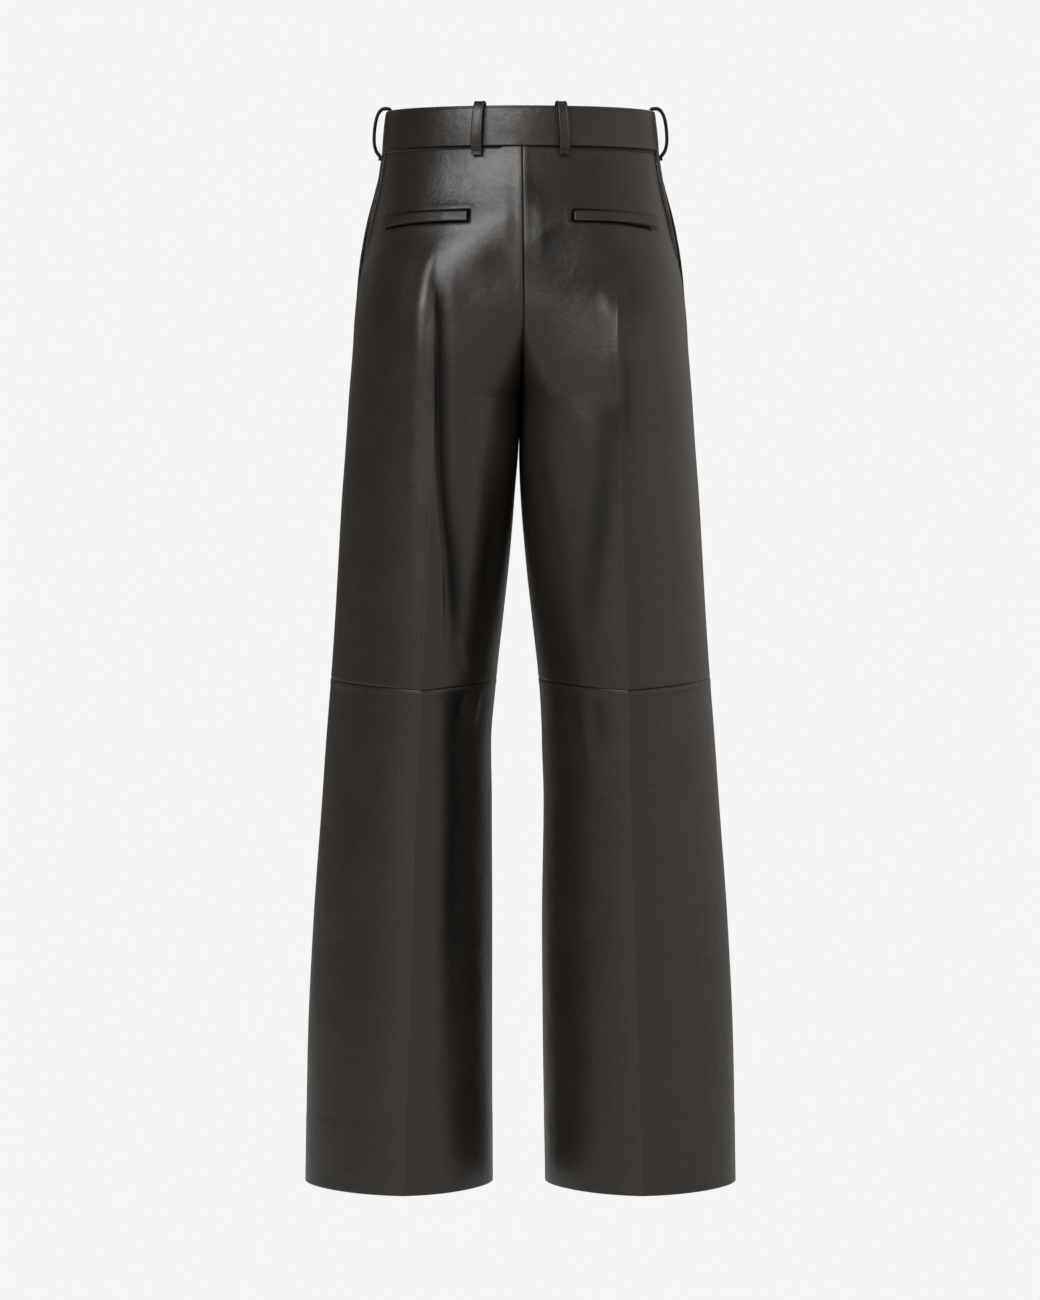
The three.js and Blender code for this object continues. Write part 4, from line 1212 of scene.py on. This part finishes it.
def buildLoop(side, sideName, place, x, half):
    middleX = min(x, abs(ringPoint(side, 0.0, 0.0)[0]) - 0.01)
    lengths = halfLengths(side, half, [0.0])[0]
    middleQ = abs(float(qAtX(side, half, 0.0, middleX)))
    middle = half * np.interp(middleQ, np.linspace(0, 1, fineSteps + 1), lengths)
    line = splinePoints(strapLine.astype(float), loop["steps"])
    tangent = np.gradient(line, axis=0)
    tangent /= np.linalg.norm(tangent, axis=1, keepdims=True)
    section = strapSection()
    blockThick = 0.0 if place == "Side" else loop["footBlock"]
    q = qAtDistance(side, [0.0], (middle + section[:, 0])[None, :])[0]
    share = np.linspace(0, 1, len(line))
    rings = []
    for i in range(len(line)):
        block = blockThick * ease((share[i] - loop["footFrom"]) / loop["footRun"])
        pinch = 1 - loop["pinch"] * bell(share[i], loop["footFrom"], loop["pinchRun"])
        shift = np.where(section[:, 1] > 0, section[:, 1] + block, section[:, 1])
        off = line[i, 0] - tangent[i, 1] * shift
        z = line[i, 1] + tangent[i, 0] * shift
        ring = offsetPoint(side, q, z, off)
        middlePoint = ring.mean(0)
        rings.append(middlePoint + (ring - middlePoint) * pinch)
    rings = np.array(rings)
    fromMiddle = np.abs(section[:, 0])
    wear = loop["wear"] * bell(fromMiddle, loop["wearPlace"], loop["wearWidth"])
    wear = np.broadcast_to(wear, rings.shape[:2])
    # painted shade along the strap's sides and over its doubled foot
    footShade = loop["footShade"] * ease((share - loop["footShadeFrom"]) / loop["footShadeRun"])
    paintedShade = loop["edgeShade"] * bell(fromMiddle, loop["edgePlace"], loop["edgeWidth"])
    paintedShade = np.maximum(paintedShade[None, :], footShade[:, None])
    piece = sweepPiece("beltLoop" + place + sideName.capitalize(), rings, [trimLeather],
                       {"wear": wear, "paintedShade": paintedShade})
    taken(piece, ["belt_loop_" + place.lower() + "_" + sideName])


for side, sideName in ((-1, "left"), (1, "right")):
    for place, x, half in loop["places"]:
        buildLoop(side, sideName, place, x, half)
print("belt loops ready")


def weltSection():
    half = pocket["height"] / 2
    thick = pocket["thick"]
    marks = [(half, 0.35), (half + 0.02, 0.9), (half - 0.25, 1.35), (half - 0.8, thick - 0.08)]
    marks += [(h, thick + 0.1 * (1 - (h / half) ** 2)) for h in np.linspace(half - 1.6, -half + 2.2, 9)]
    marks += [(-half + 1.2, thick - 0.12), (-half + 0.5, thick - 0.5), (-half + 0.1, 0.7), (-half, 0.1)]
    marks += [(h, -pocket["sunk"]) for h in np.linspace(-half + 0.5, half - 0.5, 5)]
    return np.array(marks)


def buildWelt(side, sideName):
    section = weltSection()
    half = pocket["height"] / 2
    span = pocket["outer"] - pocket["inner"]
    ends = np.array([0.0, 0.25, 0.6, 1.1, 1.8, 2.8])
    stations = np.concatenate([ends, np.linspace(4.5, span - 4.5, 40), span - ends[::-1]])
    places = []
    for s in stations:
        x = pocket["inner"] + s
        near = min(s, span - s)
        rounding = 1 + roll(near, pocket["endRound"], 1.0)
        z = pocket["middle"] - pocket["slope"] * (s / span) ** pocket["bend"]
        z = z + section[:, 0] * (0.9 + 0.1 * rounding)
        lift = np.where(section[:, 1] > 0, section[:, 1] * (0.3 + 0.7 * rounding), section[:, 1])
        waves = pocket["waves"] * softNoise(s, section[:, 0], 17.0, 5 + side)
        lift = lift + np.where(section[:, 1] > 1.2, waves, 0)
        q = np.array([float(qAtX(side, 1, h, x)) for h in z])
        places.append((q, z, lift))
    q, z, lift = (np.array(values) for values in zip(*places))
    points = ringPoint(side, q, z)
    normals = outwardAt(side, q, z)
    rings = points + normals * (lift + foldRelief(points, normals, side)[0])[..., None]
    wear = 0.4 * np.broadcast_to(bell(np.abs(section[:, 0]), 4.7, 0.6), rings.shape[:2])
    # painted shade: dark along the top, thinner along the bottom, and round the inner end
    paintedShade = bell(section[:, 0], half, 0.9) + 0.3 * bell(section[:, 0], -half, 0.6)
    paintedShade = np.clip(np.maximum(paintedShade[None, :], bell(stations, 0, 0.9)[:, None]), 0, 1)
    piece = sweepPiece("backPocketWelt" + sideName.capitalize(), rings, [trimLeather],
                       {"wear": wear, "paintedShade": paintedShade})
    taken(piece, ["back_pocket_welt_" + sideName])
    long = float(np.linalg.norm(np.diff(rings[:, 8], axis=0), axis=-1).sum())


for side, sideName in ((-1, "left"), (1, "right")):
    buildWelt(side, sideName)
print("pocket welts ready")

# Side pocket facings

facing = {"rows": 70, "columns": 26, "tuckRun": 12.0, "foot": -158.0, "waves": 0.25}


def buildFacing(side, sideName):
    under = cut["clothThick"] + 0.4
    heights = np.linspace(panelTop + 1.0, facing["foot"], facing["rows"])
    mouth = mouthAt(heights)[:, None]
    share = np.linspace(0, 1, facing["columns"])[None, :]
    away = share * (mouth + cut["facingLap"])
    distances = seamAt(heights)[:, None] - away
    q = qAtDistance(side, heights, distances)
    z = heights[:, None] + 0 * q
    tuck = under * ease((away - mouth + facing["tuckRun"]) / facing["tuckRun"])
    uneven = facing["waves"] * softNoise(away, z * 0.5, 24.0, 60 + side) * ease(away / 8)
    uneven = uneven + seamRelief(away, z, 61 + side, lip=0.5)
    normals = outwardAt(side, q, z)
    outer = ringPoint(side, q, z) + normals * (uneven - tuck)[..., None]
    inner = outer - normals * cut["clothThick"]
    faces, kinds = wallFaces(*q.shape)
    points = np.concatenate([outer.reshape(-1, 3), inner.reshape(-1, 3)])
    faces = outwardFaces(points, faces)
    wear = np.zeros(len(points))
    piece = meshObject("sidePocketFacing" + sideName.capitalize(), points, faces, [leather, suede],
                       np.where(kinds == 1, 1, 0), kinds == 2, {"wear": wear})
    taken(piece, ["side_pocket_facing_" + sideName])


for side, sideName in ((-1, "left"), (1, "right")):
    buildFacing(side, sideName)
print("pocket facings ready")

# The fly: tape, teeth, stitches and the hard parts

fly = {
    "half": 12.0, "top": -24.0, "foot": -160.0, "tapeThick": 1.4, "tapeGap": 0.55, "dish": 3.3,
    "toothPitch": 1.5, "toothSize": (2.6, 1.3, 0.8), "toothPlace": 0.9,
    "stitchLength": 2.6, "stitchGap": 3.4, "threadWidth": 0.5, "stitchLift": 0.12,
    "stitchFromEdge": 34.0, "stitchFoot": -150.0,
}


def frontPoint(x, z, off):
    side = -1 if x < 0 else 1
    q = float(qAtX(side, -1, z, abs(x) + side * curves["mid"](z) + 0.15))
    return offsetPoint(side, np.array([q]), np.array([z]), np.array([off]))[0]


def makeCloth(name, colour, roughness, pitch):
    material = bpy.data.materials.new(name)
    material.use_nodes = True
    nodes, links = material.node_tree.nodes, material.node_tree.links
    shader = nodes["Principled BSDF"]
    place = nodes.new("ShaderNodeTexCoord")
    ribs = nodes.new("ShaderNodeTexWave")
    ribs.bands_direction = "DIAGONAL"
    ribs.inputs["Scale"].default_value = 1000.0 / pitch / 20.0
    ribs.inputs["Distortion"].default_value = 1.5
    links.new(place.outputs["Object"], ribs.inputs["Vector"])
    tone = nodes.new("ShaderNodeMix")
    tone.data_type = "RGBA"
    tone.inputs[6].default_value = colour
    tone.inputs[7].default_value = tuple(min(1.0, c * 2.2) for c in colour[:3]) + (1.0,)
    links.new(ribs.outputs["Fac"], tone.inputs[0])
    links.new(tone.outputs[2], shader.inputs["Base Color"])
    bump = nodes.new("ShaderNodeBump")
    bump.inputs["Distance"].default_value = 0.0002
    links.new(ribs.outputs["Fac"], bump.inputs["Height"])
    links.new(bump.outputs["Normal"], shader.inputs["Normal"])
    shader.inputs["Roughness"].default_value = roughness
    return material


def makeMetal(name, colour, roughness):
    material = bpy.data.materials.new(name)
    material.use_nodes = True
    nodes, links = material.node_tree.nodes, material.node_tree.links
    shader = nodes["Principled BSDF"]
    place = nodes.new("ShaderNodeTexCoord")
    scratch = nodes.new("ShaderNodeTexNoise")
    scratch.inputs["Scale"].default_value = 900.0
    scratch.inputs["Detail"].default_value = 4.0
    links.new(place.outputs["Object"], scratch.inputs["Vector"])
    tone = nodes.new("ShaderNodeMix")
    tone.data_type = "RGBA"
    tone.inputs[6].default_value = tuple(c * 0.7 for c in colour[:3]) + (1.0,)
    tone.inputs[7].default_value = colour
    links.new(scratch.outputs["Fac"], tone.inputs[0])
    links.new(tone.outputs[2], shader.inputs["Base Color"])
    times, plus = mathMakers(nodes, links)
    links.new(plus(times(scratch.outputs["Fac"], 0.2), roughness - 0.1), shader.inputs["Roughness"])
    shader.inputs["Metallic"].default_value = 1.0
    return material


tapeCloth = makeCloth("zipTape", finish["tape"], 0.92, 0.9)
threadCloth = makeCloth("sewingThread", finish["thread"], 0.7, 0.5)
darkMetal = makeMetal("brushedMetal", finish["metal"], 0.34)


def buildTape():
    heights = np.linspace(fly["top"], fly["foot"], 60)
    shares = np.linspace(-1, 1, 25)
    back = cut["clothThick"] + fly["tapeGap"]
    outer = np.array([[frontPoint(s * fly["half"], z, -back - fly["dish"] * (1 - s * s)) for s in shares]
                      for z in heights])
    normals = gridNormals(outer, np.broadcast_to(np.array([0.0, 1.0, 0.0]), outer.shape))
    outer += normals * 0.5 * bell(shares, 0, 0.12)[None, :, None]  # the raised edge that holds the teeth
    inner = outer - normals * fly["tapeThick"] * 0.7
    faces, kinds = wallFaces(*outer.shape[:2])
    points = np.concatenate([outer.reshape(-1, 3), inner.reshape(-1, 3)])
    piece = meshObject("flyZipTape", points, outwardFaces(points, faces), [tapeCloth], None, kinds == 2)
    taken(piece, ["fly_zip"])
    return piece


# Small solids set at even steps along a line: stitches lie along it, teeth stand level across it.
def makeRunTree():
    tree = bpy.data.node_groups.new("piecesAlongLine", "GeometryNodeTree")
    for label, kind, value in (
        ("Geometry", "NodeSocketGeometry", None), ("Spacing", "NodeSocketFloat", 0.003),
        ("Size", "NodeSocketVector", (0.001, 0.001, 0.001)), ("Follow Line", "NodeSocketBool", True),
        ("Jitter", "NodeSocketFloat", 0.05), ("Seed", "NodeSocketInt", 3),
        ("Material", "NodeSocketMaterial", None),
    ):
        socket = tree.interface.new_socket(name=label, in_out="INPUT", socket_type=kind)
        if value is not None:
            socket.default_value = value
    tree.interface.new_socket(name="Geometry", in_out="OUTPUT", socket_type="NodeSocketGeometry")
    nodes, links = tree.nodes, tree.links
    given, result = nodes.new("NodeGroupInput"), nodes.new("NodeGroupOutput")
    line = nodes.new("GeometryNodeMeshToCurve")
    links.new(given.outputs["Geometry"], line.inputs["Mesh"])
    spots = nodes.new("GeometryNodeCurveToPoints")
    spots.mode = "LENGTH"
    links.new(line.outputs["Curve"], spots.inputs["Curve"])
    links.new(given.outputs["Spacing"], spots.inputs["Length"])
    ball = nodes.new("GeometryNodeMeshUVSphere")
    ball.inputs["Segments"].default_value = 8
    ball.inputs["Rings"].default_value = 6
    ball.inputs["Radius"].default_value = 0.5
    turn = nodes.new("GeometryNodeSwitch")
    turn.input_type = "ROTATION"
    links.new(given.outputs["Follow Line"], turn.inputs["Switch"])
    links.new(spots.outputs["Rotation"], turn.inputs["True"])
    stray = nodes.new("FunctionNodeRandomValue")
    stray.data_type = "FLOAT_VECTOR"
    links.new(given.outputs["Seed"], stray.inputs["Seed"])
    for label, sign in (("Min", -1.0), ("Max", 1.0)):
        spreadOut = nodes.new("ShaderNodeCombineXYZ")
        reach = nodes.new("ShaderNodeMath")
        reach.operation = "MULTIPLY"
        reach.inputs[1].default_value = sign
        links.new(given.outputs["Jitter"], reach.inputs[0])
        for axis in range(3):
            links.new(reach.outputs[0], spreadOut.inputs[axis])
        vectorSockets = [s for s in stray.inputs if s.name == label and s.type == "VECTOR"]
        links.new(spreadOut.outputs[0], vectorSockets[0])
    beads = nodes.new("GeometryNodeInstanceOnPoints")
    links.new(spots.outputs["Points"], beads.inputs["Points"])
    links.new(ball.outputs["Mesh"], beads.inputs["Instance"])
    links.new(turn.outputs["Output"], beads.inputs["Rotation"])
    links.new(given.outputs["Size"], beads.inputs["Scale"])
    nudge = nodes.new("GeometryNodeRotateInstances")
    links.new(beads.outputs["Instances"], nudge.inputs["Instances"])
    links.new([s for s in stray.outputs if s.type == "VECTOR"][0], nudge.inputs["Rotation"])
    real = nodes.new("GeometryNodeRealizeInstances")
    links.new(nudge.outputs["Instances"], real.inputs["Geometry"])
    smooth = nodes.new("GeometryNodeSetShadeSmooth")
    links.new(real.outputs["Geometry"], smooth.inputs["Geometry"])
    coat = nodes.new("GeometryNodeSetMaterial")
    links.new(smooth.outputs["Geometry"], coat.inputs["Geometry"])
    links.new(given.outputs["Material"], coat.inputs["Material"])
    links.new(coat.outputs["Geometry"], result.inputs["Geometry"])
    return tree


runTree = makeRunTree()


def runPiece(name, lines, slotName, **values):
    points, edges = [], []
    for line in lines:
        start = len(points)
        points += [inMetres(point) for point in line]
        edges += [(start + i, start + i + 1) for i in range(len(line) - 1)]
    mesh = bpy.data.meshes.new(name + "Line")
    mesh.from_pydata(points, edges, [])
    guide = bpy.data.objects.new(name + "Line", mesh)
    bpy.context.collection.objects.link(guide)
    run = guide.modifiers.new("run", "NODES")
    run.node_group = runTree
    sockets = {s.name: s.identifier for s in runTree.interface.items_tree
               if s.item_type == "SOCKET" and s.in_out == "INPUT"}
    for label, value in values.items():
        run[sockets[label.replace("_", " ")]] = value
    graph = bpy.context.evaluated_depsgraph_get()
    made = bpy.data.meshes.new_from_object(guide.evaluated_get(graph), depsgraph=graph)
    made.name = name
    piece = bpy.data.objects.new(name, made)
    bpy.context.collection.objects.link(piece)
    bpy.data.objects.remove(guide)
    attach(piece, "root")
    print(name, len(made.polygons), "faces")
    return piece


def buildFly():
    tape = buildTape()
    behind = cut["clothThick"] + fly["tapeGap"] + fly["dish"] - 0.9
    half = fly["toothPitch"] / 2
    rows = []
    for side, shift in ((-1, 0.0), (1, half)):
        rows.append([frontPoint(side * fly["toothPlace"], z - shift, -behind)
                     for z in np.linspace(fly["top"] - 12, fly["foot"] + 4, 40)])
    teeth = runPiece("flyZipTeeth", rows, "zip_metal", Spacing=fly["toothPitch"] * mm,
                     Size=inMetres(fly["toothSize"]), Follow_Line=False, Jitter=0.0, Seed=1,
                     Material=darkMetal)
    edge, foot = fly["stitchFromEdge"], fly["stitchFoot"]
    bend = [(edge, z) for z in np.linspace(panelTop - 2.5, foot + edge, 24)]
    bend += [(edge * math.cos(a), foot + edge - edge * math.sin(a)) for a in np.linspace(0.1, 1.45, 16)]
    line = [frontPoint(x, z, fly["stitchLift"]) for x, z in bend]
    runPiece("flyStitches", [line], "leather_trim", Spacing=fly["stitchGap"] * mm,
             Size=inMetres((fly["threadWidth"], fly["threadWidth"], fly["stitchLength"])),
             Follow_Line=True, Jitter=0.06, Seed=4, Material=threadCloth)


buildFly()

for node in ("zip_slider", "waistband_hook", "waistband_bar"):
    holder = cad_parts[node]
    if not holder.material_slots:
        holder.data.materials.append(darkMetal)
    for place in holder.material_slots:
        place.link = "OBJECT"
        place.material = darkMetal
print("fly ready")
